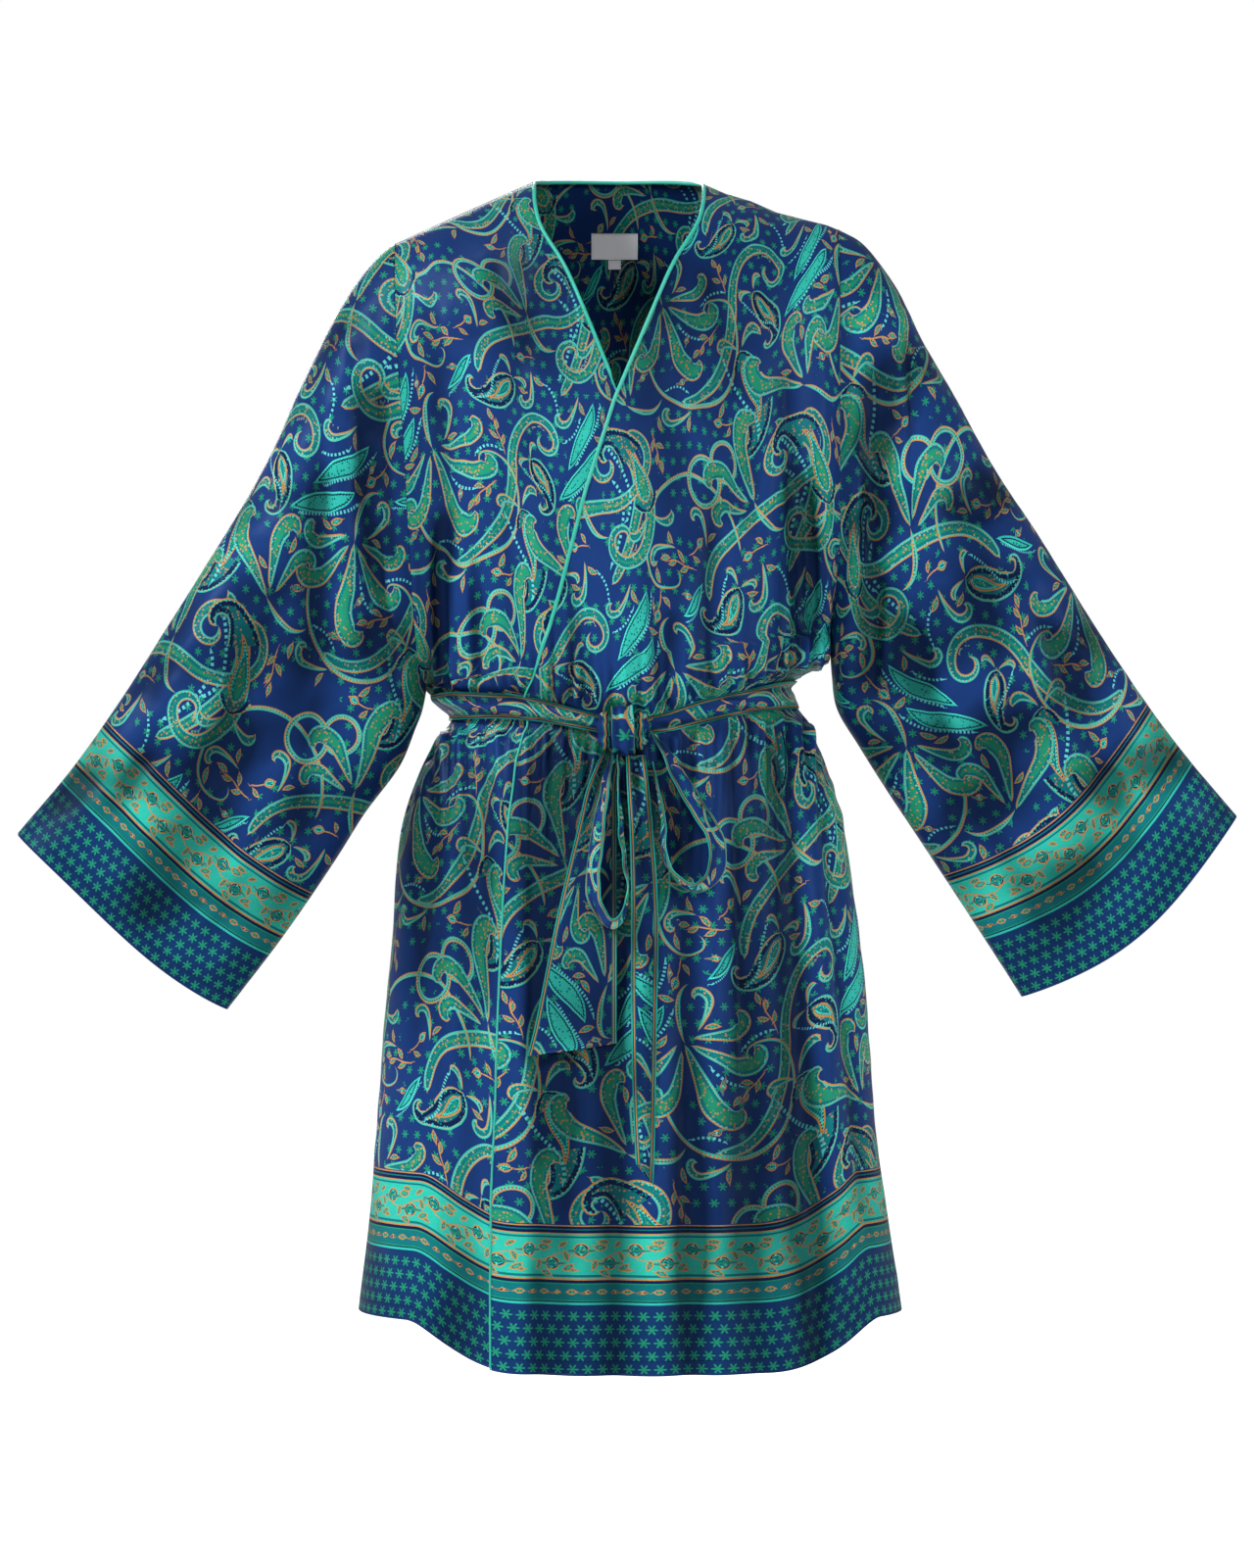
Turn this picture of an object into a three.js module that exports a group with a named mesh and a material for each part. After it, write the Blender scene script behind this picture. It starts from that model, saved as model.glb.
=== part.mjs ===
// A short wrap robe in thin satin, filled out as it is worn, its sash tied in a bow at the front.
// Millimetres. +Z is up, the front faces -Y and the wearer's left is towards +X.
// The origin is on the centre line at the height of the shoulder seams' neck ends.

import * as THREE from "three";
import { mergeVertices } from "three/addons/utils/BufferGeometryUtils.js";

// ---------- driving sizes ----------

const WALL = 1.6; // cloth
const SEAM_GAP = 0.3;
const HALF_GAP = SEAM_GAP / 2;
const OVER_LIFT = 3; // outer face of the front that laps over, from the body surface
const UNDER_LIFT = -3.2; // outer face of the front that lies beneath
const LAP = { from: 0.5, to: 0.85 }; // where a front starts to leave the lap, and its side part begins

const SIDES = {
  left: { sign: 1, tipX: 168, tipZ: -26, underarmZ: -345, hemFrom: 0.42, hemTo: 0.88 },
  right: { sign: -1, tipX: 179, tipZ: -38, underarmZ: -385, hemFrom: 0.58, hemTo: 0.95 },
};
const HIP_Z = -447;
const HEM_SIDE_Z = -874;
const HEM_FRONT_DROP = 36;
const HEM_BACK_DROP = 22;

const NECK = { centre: -3, half: 67, rise: 16, depth: 52 };

// Share of the armhole's height over which the shoulder rounds off, and where its foot starts to close.
const CHEST_SHARE = 0.25;
const FOOT_SHARE = 0.6;
const ARMHOLE_HALF_DEPTH = 50;
const ARMHOLE_ANGLE = THREE.MathUtils.degToRad(52);

// Rows of a panel, from the shoulder seam to the hem.
const FAN_ROWS = 5;
const ARM_SHARES = [0.35, 0.46, 0.57, 0.68, 0.79, 0.88, 0.95, 1];
const WAIST_SHARES = [0.16, 0.31, 0.41, 0.5, 0.6, 0.72, 0.86, 1];
const SKIRT_ROWS = 10;
const ARM_ROWS = FAN_ROWS + ARM_SHARES.length;
const HIP_ROW = ARM_ROWS + WAIST_SHARES.length;
const LAST_ROW = HIP_ROW + SKIRT_ROWS;

const BACK_COLUMNS = 28;
const FRONT_COLUMNS = 18;
const SLEEVE_RINGS = 15;

// Half widths at each side and half depths of front and back, by height.
const BODY = [
  { z: 60, left: 168, right: 181, front: 95, back: 95 },
  { z: -110, left: 168, right: 176, front: 97, back: 96 },
  { z: -200, left: 168, right: 170, front: 105, back: 100 },
  { z: -277, left: 168, right: 166, front: 109, back: 101 },
  { z: -345, left: 162, right: 162, front: 110, back: 99 },
  { z: -365, left: 162, right: 160, front: 108, back: 96 },
  { z: -375, left: 155, right: 158, front: 105, back: 93 },
  { z: -382, left: 141, right: 156, front: 99, back: 90 },
  { z: -389, left: 131, right: 149.5, front: 92, back: 86 },
  { z: -396, left: 130, right: 142, front: 89, back: 84 },
  { z: -403, left: 134, right: 135, front: 89, back: 84 },
  { z: -411, left: 140, right: 137, front: 89, back: 84 },
  { z: -420, left: 147, right: 146, front: 91, back: 87 },
  { z: -432, left: 151, right: 152, front: 94, back: 91 },
  { z: -447, left: 158, right: 159, front: 97, back: 95 },
  { z: -475, left: 167, right: 169, front: 101, back: 101 },
  { z: -500, left: 173, right: 175, front: 105, back: 106 },
  { z: -538, left: 178, right: 179, front: 109, back: 111 },
  { z: -577, left: 184, right: 181, front: 113, back: 116 },
  { z: -654, left: 192, right: 188, front: 119, back: 121 },
  { z: -731, left: 198, right: 193, front: 125, back: 126 },
  { z: -808, left: 209, right: 200, front: 130, back: 130 },
  { z: -874, left: 219, right: 208, front: 133, back: 132 },
  { z: -930, left: 226, right: 213, front: 136, back: 134 },
];

const SHOULDER = [
  { x: -182, z: -39 },
  { x: -160, z: -29 },
  { x: -120, z: -11 },
  { x: -100, z: -2 },
  { x: -70, z: 11 },
  { x: 64, z: 9 },
  { x: 80, z: 2 },
  { x: 100, z: -4 },
  { x: 120, z: -13 },
  { x: 140, z: -18 },
  { x: 160, z: -23 },
  { x: 175, z: -29 },
];

// The front edge of each front, seen from the front: the neckline, then the lap down to the hem.
const OVER_EDGE = [
  { z: 9, x: 65 },
  { z: -9, x: 62 },
  { z: -166, x: -4 },
  { z: -237, x: -26 },
  { z: -323, x: -48 },
  { z: -387, x: -67 },
  { z: -411, x: -73 },
  { z: -442, x: -80 },
  { z: -488, x: -86 },
  { z: -553, x: -90 },
  { z: -669, x: -94 },
  { z: -791, x: -97 },
  { z: -920, x: -97 },
];
const UNDER_EDGE = [
  { z: 11, x: -71 },
  { z: -9, x: -68 },
  { z: -166, x: -4 },
  { z: -237, x: 27 },
  { z: -323, x: 50 },
  { z: -387, x: 66 },
  { z: -440, x: 66 },
  { z: -600, x: 50 },
  { z: -780, x: 30 },
  { z: -920, x: 18 },
];

// Folds run straight from one end to the other. A positive depth is a valley. They die out towards the
// side seams, over this share of the panel's bow.
const FOLD_FROM_SEAM = 0.35;
const FRONT_FOLDS = [
  { x0: -138, z0: -250, x1: -141, z1: -400, width: 9, depth: 9 },
  { x0: -110, z0: -270, x1: -113, z1: -385, width: 8, depth: 4 },
  { x0: 138, z0: -215, x1: 143, z1: -360, width: 10, depth: 10 },
  { x0: 90, z0: -260, x1: 82, z1: -392, width: 12, depth: -5 },
  { x0: 20, z0: -290, x1: 24, z1: -405, width: 9, depth: 4 },
  { x0: -66, z0: -440, x1: -62, z1: -1010, width: 15, depth: 7 },
  { x0: -97, z0: -640, x1: -90, z1: -1010, width: 14, depth: -5 },
  { x0: -120, z0: -430, x1: -138, z1: -1010, width: 17, depth: 5 },
  { x0: -2, z0: -420, x1: -8, z1: -1010, width: 15, depth: 8 },
  { x0: 42, z0: -420, x1: 52, z1: -1010, width: 14, depth: 7 },
  { x0: 92, z0: -420, x1: 104, z1: -1010, width: 15, depth: 5 },
  { x0: 118, z0: -415, x1: 152, z1: -1010, width: 15, depth: 8 },
];
const BACK_FOLDS = [
  { x0: -118, z0: -240, x1: -122, z1: -400, width: 12, depth: 7 },
  { x0: 116, z0: -230, x1: 124, z1: -385, width: 12, depth: 7 },
  { x0: -52, z0: -280, x1: -46, z1: -395, width: 12, depth: 5 },
  { x0: 34, z0: -270, x1: 40, z1: -395, width: 12, depth: 6 },
  { x0: -130, z0: -430, x1: -156, z1: -1010, width: 16, depth: 7 },
  { x0: -78, z0: -420, x1: -92, z1: -1010, width: 16, depth: 8 },
  { x0: -30, z0: -420, x1: -38, z1: -1010, width: 14, depth: 6 },
  { x0: 14, z0: -420, x1: 12, z1: -1010, width: 16, depth: 8 },
  { x0: 66, z0: -420, x1: 76, z1: -1010, width: 15, depth: 7 },
  { x0: 112, z0: -420, x1: 140, z1: -1010, width: 16, depth: 8 },
];

// Outline of each sleeve, seen from the front: its upper fold and its underarm seam.
const SLEEVES = {
  left: {
    cuffBow: 21,
    bowSkew: 1.2,
    top: [
      { x: 186, z: -36 },
      { x: 199, z: -50 },
      { x: 216, z: -75 },
      { x: 233, z: -110 },
      { x: 256, z: -150 },
      { x: 288, z: -208 },
      { x: 330, z: -273 },
      { x: 369, z: -335 },
      { x: 407, z: -393 },
      { x: 448, z: -447 },
      { x: 482, z: -487 },
    ],
    bottom: [
      { x: 164, z: -377 },
      { x: 168, z: -403 },
      { x: 185, z: -432 },
      { x: 209, z: -470 },
      { x: 229, z: -500 },
      { x: 262, z: -550 },
      { x: 301, z: -610 },
      { x: 313, z: -629 },
    ],
  },
  right: {
    cuffBow: 8,
    bowSkew: 1.8,
    top: [
      { x: -186, z: -42 },
      { x: -203, z: -60 },
      { x: -223, z: -90 },
      { x: -253, z: -150 },
      { x: -279, z: -208 },
      { x: -317, z: -273 },
      { x: -356, z: -335 },
      { x: -393, z: -393 },
      { x: -431, z: -447 },
      { x: -476, z: -501 },
    ],
    bottom: [
      { x: -158, z: -405 },
      { x: -163, z: -418 },
      { x: -175, z: -447 },
      { x: -203, z: -485 },
      { x: -225, z: -520 },
      { x: -266, z: -580 },
      { x: -311, z: -639 },
    ],
  },
};

// Half depth of a sleeve along its length, and how its section narrows and closes towards the seam.
const SLEEVE_DEPTH = [
  { share: 0, depth: 52 },
  { share: 0.3, depth: 50 },
  { share: 0.6, depth: 44 },
  { share: 1, depth: 34 },
];
const SECTION = { narrowFrom: 0.3, narrowTo: 0.9, narrowBy: 0.5, closeFrom: 0.86 };
const ARMHOLE_BLEND = 0.4; // share of a sleeve's length over which it leaves the armhole's shape
const CUFF_BLEND = 0.3; // share of its length from which it takes on the cuff's bow
const SLEEVE_FOLDS = {
  left: [
    { x0: 222, z0: -90, x1: 222, z1: -330, width: 9, depth: -6 },
    { x0: 196, z0: -120, x1: 186, z1: -400, width: 13, depth: 8 },
    { x0: 205, z0: -300, x1: 262, z1: -500, width: 14, depth: 6 },
    { x0: 262, z0: -230, x1: 318, z1: -560, width: 18, depth: 6 },
    { x0: 330, z0: -330, x1: 400, z1: -520, width: 16, depth: 5 },
  ],
  right: [
    { x0: -205, z0: -110, x1: -190, z1: -400, width: 13, depth: 8 },
    { x0: -228, z0: -150, x1: -214, z1: -360, width: 9, depth: -5 },
    { x0: -230, z0: -300, x1: -262, z1: -520, width: 14, depth: 6 },
    { x0: -290, z0: -270, x1: -318, z1: -560, width: 18, depth: 6 },
    { x0: -350, z0: -360, x1: -400, z1: -530, width: 16, depth: 5 },
  ],
};

// The sash round the waist: it dips to the knot.
const SASH = { z: -397, tilt: 6, dip: 21, dipAt: 8, dipWidth: 65, height: 20, wall: 2.4 };
const SASH_LIFT_FRONT = 5;
const SASH_LIFT_BACK = 1.3;
const WAIST_REACH = 70; // how far above and below the sash the waist follows its dip
const FOLD_FREE = 17; // how close to the sash the folds die out

const KNOT = { x: 0, y: -111.7, z: -421, halfWidth: 20, halfHeight: 19, halfDepth: 12 };
// The knot's two grooves, as shares of its half width and size, and how square its section is.
const GROOVE = { at: 0.5, width: 0.16, depth: 0.14 };
const KNOT_POWER = 0.75;
const KNOT_SEGMENTS = { around: 20, down: 12 };

// Each bow loop runs from the knot, down its outer strap, round its foot and back up. x, y and z place
// its rear edge; across and rise lead from there to its front edge, which lies BOW_DEPTH further forward.
const BOW_WALL = 1.6;
const BOW_DEPTH = 15;
const BOW_LOOPS = {
  left: [
    { x: 21.5, z: -422, y: -107, across: 0, rise: 0 },
    { x: 37, z: -440, y: -106, across: -6, rise: -3 },
    { x: 54, z: -462, y: -107, across: -11, rise: -5 },
    { x: 69, z: -486, y: -112, across: -13, rise: -5 },
    { x: 77, z: -505, y: -116, across: -13, rise: -1 },
    { x: 78, z: -523, y: -118, across: -12, rise: 3 },
    { x: 71, z: -538, y: -119, across: -8, rise: 6 },
    { x: 57, z: -545, y: -119, across: -2, rise: 7 },
    { x: 43, z: -538, y: -119, across: 2, rise: 5 },
    { x: 32, z: -521, y: -118, across: 3, rise: 2 },
    { x: 29, z: -484, y: -112, across: 1, rise: 0 },
    { x: 23, z: -446, y: -104, across: -1, rise: 1 },
  ],
  right: [
    { x: -9, z: -439.8, y: -108.6, across: 1, rise: 0 },
    { x: -16, z: -462, y: -108, across: 6, rise: 0 },
    { x: -23, z: -488, y: -112, across: 9, rise: 0 },
    { x: -27, z: -514, y: -117, across: 11, rise: 0 },
    { x: -28, z: -538, y: -120, across: 11, rise: 1 },
    { x: -25, z: -556, y: -121, across: 9, rise: 4 },
    { x: -16, z: -569, y: -122, across: 5, rise: 7 },
    { x: -6, z: -572, y: -122, across: 1, rise: 8 },
    { x: 2, z: -560, y: -122, across: -1, rise: 5 },
    { x: 3, z: -532, y: -119, across: -1, rise: 1 },
    { x: -1, z: -498, y: -113, across: -1, rise: 0 },
    { x: -4, z: -462, y: -108, across: 0, rise: 0 },
    { x: -4, z: -439.8, y: -108.6, across: 0, rise: 0 },
  ],
};

// The two hanging ends of the sash: their edges and how far their face stands off the body surface.
const TAIL_WALL = 2;
const TAIL_COLUMNS = 6;
const TAILS = {
  wide: [
    { z: -438.9, x0: -17, x1: -1.5, lift: 15 },
    { z: -466, x0: -28, x1: -5, lift: 11 },
    { z: -492, x0: -34, x1: -5, lift: 9 },
    { z: -530, x0: -43, x1: -5, lift: 9.5 },
    { z: -570, x0: -52, x1: -5, lift: 9.5 },
    { z: -610, x0: -60, x1: -5, lift: 9.5 },
    { z: -645, x0: -67, x1: -5, lift: 9.5 },
    { z: -669, x0: -73, x1: -5, lift: 9.5 },
  ],
  narrow: [
    { z: -440, x0: 2, x1: 17, lift: 21.5 },
    { z: -466, x0: 3, x1: 20, lift: 20 },
    { z: -500, x0: 5, x1: 23, lift: 17 },
    { z: -540, x0: 6, x1: 26, lift: 13 },
    { z: -580, x0: 6, x1: 27, lift: 9 },
    { z: -630, x0: 6, x1: 26, lift: 7 },
    { z: -690, x0: 7, x1: 25, lift: 7 },
    { z: -740, x0: 9, x1: 24, lift: 7 },
    { z: -766, x0: 11, x1: 23, lift: 7 },
  ],
};
// A tail's end is cut askew: the height that its far edge stays above its near one.
const TAIL_SKEW = { wide: 10, narrow: 15 };

const PIPING = { radius: 2, thin: 1.3, sides: 6, thinOver: -370, thinUnder: -150 };

const LABEL = { x: -7, z: -31, width: 37, height: 20, wall: 1, columns: 6, rows: 3 };
const SIZE_TAB = { x: -7, z: -45, width: 10, height: 7, wall: 1, columns: 2, rows: 1 };

// ---------- small tools ----------

const { clamp, lerp, smoothstep } = THREE.MathUtils;

// Smooth value of one column of a table at a place along another column.
function column(table, axis, key, at) {
  const rising = table[table.length - 1][axis] > table[0][axis];
  const rows = rising ? table : [...table].reverse();
  let i = 0;
  while (i < rows.length - 2 && rows[i + 1][axis] < at) {
    i += 1;
  }
  const slope = (a, b) => (rows[b][key] - rows[a][key]) / (rows[b][axis] - rows[a][axis]);
  const start = slope(Math.max(i - 1, 0), i + 1);
  const end = slope(i, Math.min(i + 2, rows.length - 1));
  const span = rows[i + 1][axis] - rows[i][axis];
  const t = clamp((at - rows[i][axis]) / span, 0, 1);
  const h = t * t * (3 - 2 * t);
  const bend = span * (t * (1 - t) * (1 - t) * start - t * t * (1 - t) * end);
  return rows[i][key] * (1 - h) + rows[i + 1][key] * h + bend;
}

// Straight value of one column between the rows of a table.
function straight(table, axis, key, at) {
  const rising = table[table.length - 1][axis] > table[0][axis];
  const rows = rising ? table : [...table].reverse();
  let i = 0;
  while (i < rows.length - 2 && rows[i + 1][axis] < at) {
    i += 1;
  }
  const t = clamp((at - rows[i][axis]) / (rows[i + 1][axis] - rows[i][axis]), 0, 1);
  return lerp(rows[i][key], rows[i + 1][key], t);
}

function foldDepth(folds, x, z) {
  let depth = 0;
  for (const fold of folds) {
    const runX = fold.x1 - fold.x0;
    const runZ = fold.z1 - fold.z0;
    const share = ((x - fold.x0) * runX + (z - fold.z0) * runZ) / (runX * runX + runZ * runZ);
    const along = clamp(share, 0, 1);
    const away = Math.hypot(x - fold.x0 - runX * along, z - fold.z0 - runZ * along) / fold.width;
    depth += fold.depth * Math.exp(-away * away) * Math.sqrt(Math.sin(Math.PI * along));
  }
  return depth;
}

// ---------- the body surface ----------

function sashHeight(x, front) {
  const dip = SASH.dip * Math.exp(-(((x - SASH.dipAt) / SASH.dipWidth) ** 2));
  return SASH.z + (SASH.tilt * x) / SIDES.left.tipX - (front ? dip : 0);
}

// The drop of the waist's sections where the sash dips, fading out above and below it.
function waistDrop(x, z, front) {
  const drop = SASH.z - sashHeight(x, front);
  return drop * Math.exp(-(((z - SASH.z) / WAIST_REACH) ** 2));
}

function seamHeight(side, row) {
  const { tipZ, underarmZ } = SIDES[side];
  if (row <= ARM_ROWS) {
    return lerp(tipZ, underarmZ, armShare(row));
  }
  if (row <= HIP_ROW) {
    return lerp(underarmZ, HIP_Z, WAIST_SHARES[row - ARM_ROWS - 1]);
  }
  return lerp(HIP_Z, HEM_SIDE_Z, (row - HIP_ROW) / SKIRT_ROWS);
}

// How far down the armhole a row lies, 0 at the shoulder tip and 1 from the underarm down.
function armShare(row) {
  if (row <= FAN_ROWS) {
    return CHEST_SHARE * (row / FAN_ROWS) ** 2;
  }
  return row <= ARM_ROWS ? ARM_SHARES[row - FAN_ROWS - 1] : 1;
}

// The panel's upper edge over a given x, and how hard the cloth turns down from it.
function upperEdge(x, front) {
  const across = (x - NECK.centre) / NECK.half;
  const seam = straight(SHOULDER, "x", "z", x);
  if (front || Math.abs(across) >= 1) {
    return { y: HALF_GAP, z: seam, turn: 0.5 };
  }
  const round = 1 - across * across;
  return {
    y: HALF_GAP + NECK.depth * Math.sqrt(round),
    z: lerp(seam, NECK.rise, 1 - Math.abs(across) ** 6),
    turn: 0.5 + 0.35 * round,
  };
}

// How far the armhole stands open at a row: fully down to its foot, then closing to the side seam.
function armholeOpening(row) {
  const foot = clamp((armShare(row) - FOOT_SHARE) / (1 - FOOT_SHARE), 0, 1);
  return Math.sqrt(1 - foot * foot);
}

function sideAngle(row) {
  return lerp(Math.PI / 2, ARMHOLE_ANGLE, armholeOpening(row));
}

// A point of the body surface. across runs from -1 at the right seam to 1 at the left one.
function bodyPoint(across, row, front) {
  const side = across < 0 ? "right" : "left";
  const blend = (1 + Math.sin((across * Math.PI) / 2)) / 2;
  const share = armShare(row);
  const opening = armholeOpening(row);
  const seamAngle = sideAngle(row);
  const angle = across * seamAngle;
  const reach = Math.sin(angle) / Math.sin(seamAngle);
  const rowZ = (r) => lerp(seamHeight("right", r), seamHeight("left", r), blend);
  let z = rowZ(row);
  let x = reach * column(BODY, "z", side, z);
  const { hemFrom, hemTo } = SIDES[side];
  const drop = (front ? HEM_FRONT_DROP : HEM_BACK_DROP) * smoothstep(Math.cos(angle), hemFrom, hemTo);
  if (row > HIP_ROW) {
    z = HIP_Z + ((z - HIP_Z) * (HEM_SIDE_Z - drop - HIP_Z)) / (HEM_SIDE_Z - HIP_Z);
    x = reach * column(BODY, "z", side, z);
  }
  const upper = upperEdge(x, front);
  const fan = clamp(share / CHEST_SHARE, 0, 1);
  if (row < FAN_ROWS) {
    z = lerp(upper.z, rowZ(FAN_ROWS), fan);
  }
  const level = z + waistDrop(x, z, front);
  const depth = column(BODY, "z", front ? "front" : "back", level);
  const width = column(BODY, "z", side, level);
  x = reach * (row > ARM_ROWS ? width : column(BODY, "z", side, z));
  const seamY = HALF_GAP + ARMHOLE_HALF_DEPTH * opening;
  const bow = (Math.cos(angle) - Math.cos(seamAngle)) / (1 - Math.cos(seamAngle));
  let y = seamY + (depth - seamY) * bow;
  const fromSash = (z - sashHeight(x, front)) / FOLD_FREE;
  const fade = 1 - Math.exp(-(fromSash ** 4));
  y -= foldDepth(front ? FRONT_FOLDS : BACK_FOLDS, x, z) * fade * smoothstep(bow, 0, FOLD_FROM_SEAM);
  y = upper.y + (y - upper.y) * (1 - (1 - fan) ** 2) ** upper.turn;
  return new THREE.Vector3(x, front ? -y : y, z);
}

// The outward direction of the body surface, found from close neighbours.
function bodyNormal(across, row, front) {
  const near = 0.01;
  const right = bodyPoint(clamp(across - near, -1, 1), row, front);
  const left = bodyPoint(clamp(across + near, -1, 1), row, front);
  const above = bodyPoint(across, Math.max(row - 1, 0), front);
  const below = bodyPoint(across, Math.min(row + 1, LAST_ROW), front);
  const normal = left.sub(right).cross(above.sub(below));
  if (!front) {
    normal.negate();
  }
  const atSeam = Math.abs(across) > 1 - near && armholeOpening(row) < near;
  const onShoulder = row === 0 && upperEdge(bodyPoint(across, 0, front).x, front).y <= HALF_GAP;
  if (atSeam || onShoulder) {
    normal.y = 0;
  }
  return normal.normalize();
}

// Where the panel's own edge crosses a row, as a share of the way to the side seam.
function edgeAcross(edge, row) {
  let across = 0;
  for (let step = 0; step < 12; step += 1) {
    const point = bodyPoint(across, row, true);
    const x = straight(edge, "z", "x", point.z);
    const side = x < 0 ? "right" : "left";
    const width = Math.abs(bodyPoint(side === "left" ? 1 : -1, row, true).x);
    const angle = Math.asin((x / width) * Math.sin(sideAngle(row)));
    across = angle / sideAngle(row);
  }
  return across;
}

// ---------- solids from grids ----------

// A closed wall between two grids of points with the same rows and columns.
function wallGeometry(outer, inner, closed = false) {
  const rows = outer.length;
  const columns = outer[0].length;
  const positions = [];
  for (const grid of [outer, inner]) {
    for (const row of grid) {
      for (const point of row) {
        positions.push(point.x, point.y, point.z);
      }
    }
  }
  const at = (layer, r, c) => layer * rows * columns + r * columns + (c % columns);
  const indices = [];
  const quad = (a, b, c, d) => indices.push(a, b, c, a, c, d);
  const lastColumn = closed ? columns : columns - 1;
  for (let r = 0; r < rows - 1; r += 1) {
    for (let c = 0; c < lastColumn; c += 1) {
      quad(at(0, r, c), at(0, r + 1, c), at(0, r + 1, c + 1), at(0, r, c + 1));
      quad(at(1, r, c), at(1, r, c + 1), at(1, r + 1, c + 1), at(1, r + 1, c));
    }
  }
  for (let c = 0; c < lastColumn; c += 1) {
    quad(at(0, 0, c), at(0, 0, c + 1), at(1, 0, c + 1), at(1, 0, c));
    const r = rows - 1;
    quad(at(0, r, c), at(1, r, c), at(1, r, c + 1), at(0, r, c + 1));
  }
  if (!closed) {
    for (let r = 0; r < rows - 1; r += 1) {
      quad(at(0, r, 0), at(1, r, 0), at(1, r + 1, 0), at(0, r + 1, 0));
      const c = columns - 1;
      quad(at(0, r, c), at(0, r + 1, c), at(1, r + 1, c), at(1, r, c));
    }
  }
  const geometry = new THREE.BufferGeometry();
  geometry.setAttribute("position", new THREE.Float32BufferAttribute(positions, 3));
  geometry.setIndex(indices);
  return geometry;
}

// Unit normals of a grid: the way down its rows crossed with the way along its columns.
function gridNormals(grid, closed = false) {
  const rows = grid.length;
  const columns = grid[0].length;
  return grid.map((row, r) =>
    row.map((_, c) => {
      const wrap = (i) => (closed ? (i + columns) % columns : clamp(i, 0, columns - 1));
      const along = grid[Math.min(r + 1, rows - 1)][c].clone().sub(grid[Math.max(r - 1, 0)][c]);
      const over = row[wrap(c + 1)].clone().sub(row[wrap(c - 1)]);
      return along.cross(over).normalize();
    }),
  );
}

function shifted(grid, normals, distance) {
  return grid.map((row, r) => row.map((p, c) => p.clone().addScaledVector(normals[r][c], distance)));
}

// A closed tube of small round section along a run of points.
function tubeGeometry(points, radii, sides) {
  const outline = [];
  let up = new THREE.Vector3(0, -1, 0);
  points.forEach((point, i) => {
    const before = points[Math.max(i - 1, 0)];
    const after = points[Math.min(i + 1, points.length - 1)];
    const tangent = after.clone().sub(before).normalize();
    const across = new THREE.Vector3().crossVectors(tangent, up).normalize();
    up = new THREE.Vector3().crossVectors(across, tangent).normalize();
    const ring = [];
    for (let k = 0; k < sides; k += 1) {
      const turn = (2 * Math.PI * k) / sides;
      const offset = across.clone().multiplyScalar(Math.cos(turn) * radii[i]);
      offset.addScaledVector(up, Math.sin(turn) * radii[i]);
      ring.push(point.clone().add(offset));
    }
    outline.push(ring);
  });
  const positions = outline.flat().flatMap((p) => [p.x, p.y, p.z]);
  const indices = [];
  for (let i = 0; i < points.length - 1; i += 1) {
    for (let k = 0; k < sides; k += 1) {
      const next = (k + 1) % sides;
      const a = i * sides;
      const b = a + sides;
      indices.push(a + k, b + next, a + next, a + k, b + k, b + next);
    }
  }
  const last = (points.length - 1) * sides;
  for (let k = 1; k < sides - 1; k += 1) {
    indices.push(0, k, k + 1);
    indices.push(last, last + k + 1, last + k);
  }
  const geometry = new THREE.BufferGeometry();
  geometry.setAttribute("position", new THREE.Float32BufferAttribute(positions, 3));
  geometry.setIndex(indices);
  return geometry;
}

// ---------- panels ----------

// How much of its lift a front keeps: all of it over the lap, none at its side seam.
function lapShare(across) {
  return 1 - smoothstep(Math.abs(across), LAP.from, LAP.to);
}

// The outer and inner grids of a panel, from how far across each column lies at each row.
function panelGrids(acrossAt, columns, front, lift) {
  const outer = [];
  const inner = [];
  for (let row = 0; row <= LAST_ROW; row += 1) {
    const outerRow = [];
    const innerRow = [];
    for (let c = 0; c <= columns; c += 1) {
      const across = acrossAt(row, c);
      const normal = bodyNormal(across, row, front);
      const point = bodyPoint(across, row, front);
      const raise = lift(across);
      outerRow.push(point.clone().addScaledVector(normal, raise));
      innerRow.push(point.addScaledVector(normal, raise - WALL));
    }
    outer.push(outerRow);
    inner.push(innerRow);
  }
  return { outer, inner };
}

const overAcross = (row, c) => lerp(edgeAcross(OVER_EDGE, row), 1, c / FRONT_COLUMNS);
const underAcross = (row, c) => lerp(-1, edgeAcross(UNDER_EDGE, row), c / FRONT_COLUMNS);
const overLift = (across) => OVER_LIFT * lapShare(Math.max(across, 0));
const underLift = (across) => UNDER_LIFT * lapShare(Math.min(across, 0));

// The back has a column at each end of the neck opening.
const NECK_COLUMNS = { first: 9, last: 19 };

function backAcross(c) {
  const atNeck = (x, tipX) => Math.asin((x / tipX) * Math.sin(ARMHOLE_ANGLE)) / ARMHOLE_ANGLE;
  const left = atNeck(NECK.centre + NECK.half, SIDES.left.tipX);
  const right = -atNeck(NECK.half - NECK.centre, SIDES.right.tipX);
  const { first, last } = NECK_COLUMNS;
  if (c <= first) {
    return lerp(1, left, c / first);
  }
  if (c <= last) {
    return lerp(left, right, (c - first) / (last - first));
  }
  return lerp(right, -1, (c - last) / (BACK_COLUMNS - last));
}

const PANELS = {
  front_left: panelGrids(overAcross, FRONT_COLUMNS, true, overLift),
  front_right: panelGrids(underAcross, FRONT_COLUMNS, true, underLift),
  back: panelGrids((row, c) => backAcross(c), BACK_COLUMNS, false, () => 0),
};

// ---------- sleeves ----------

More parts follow.
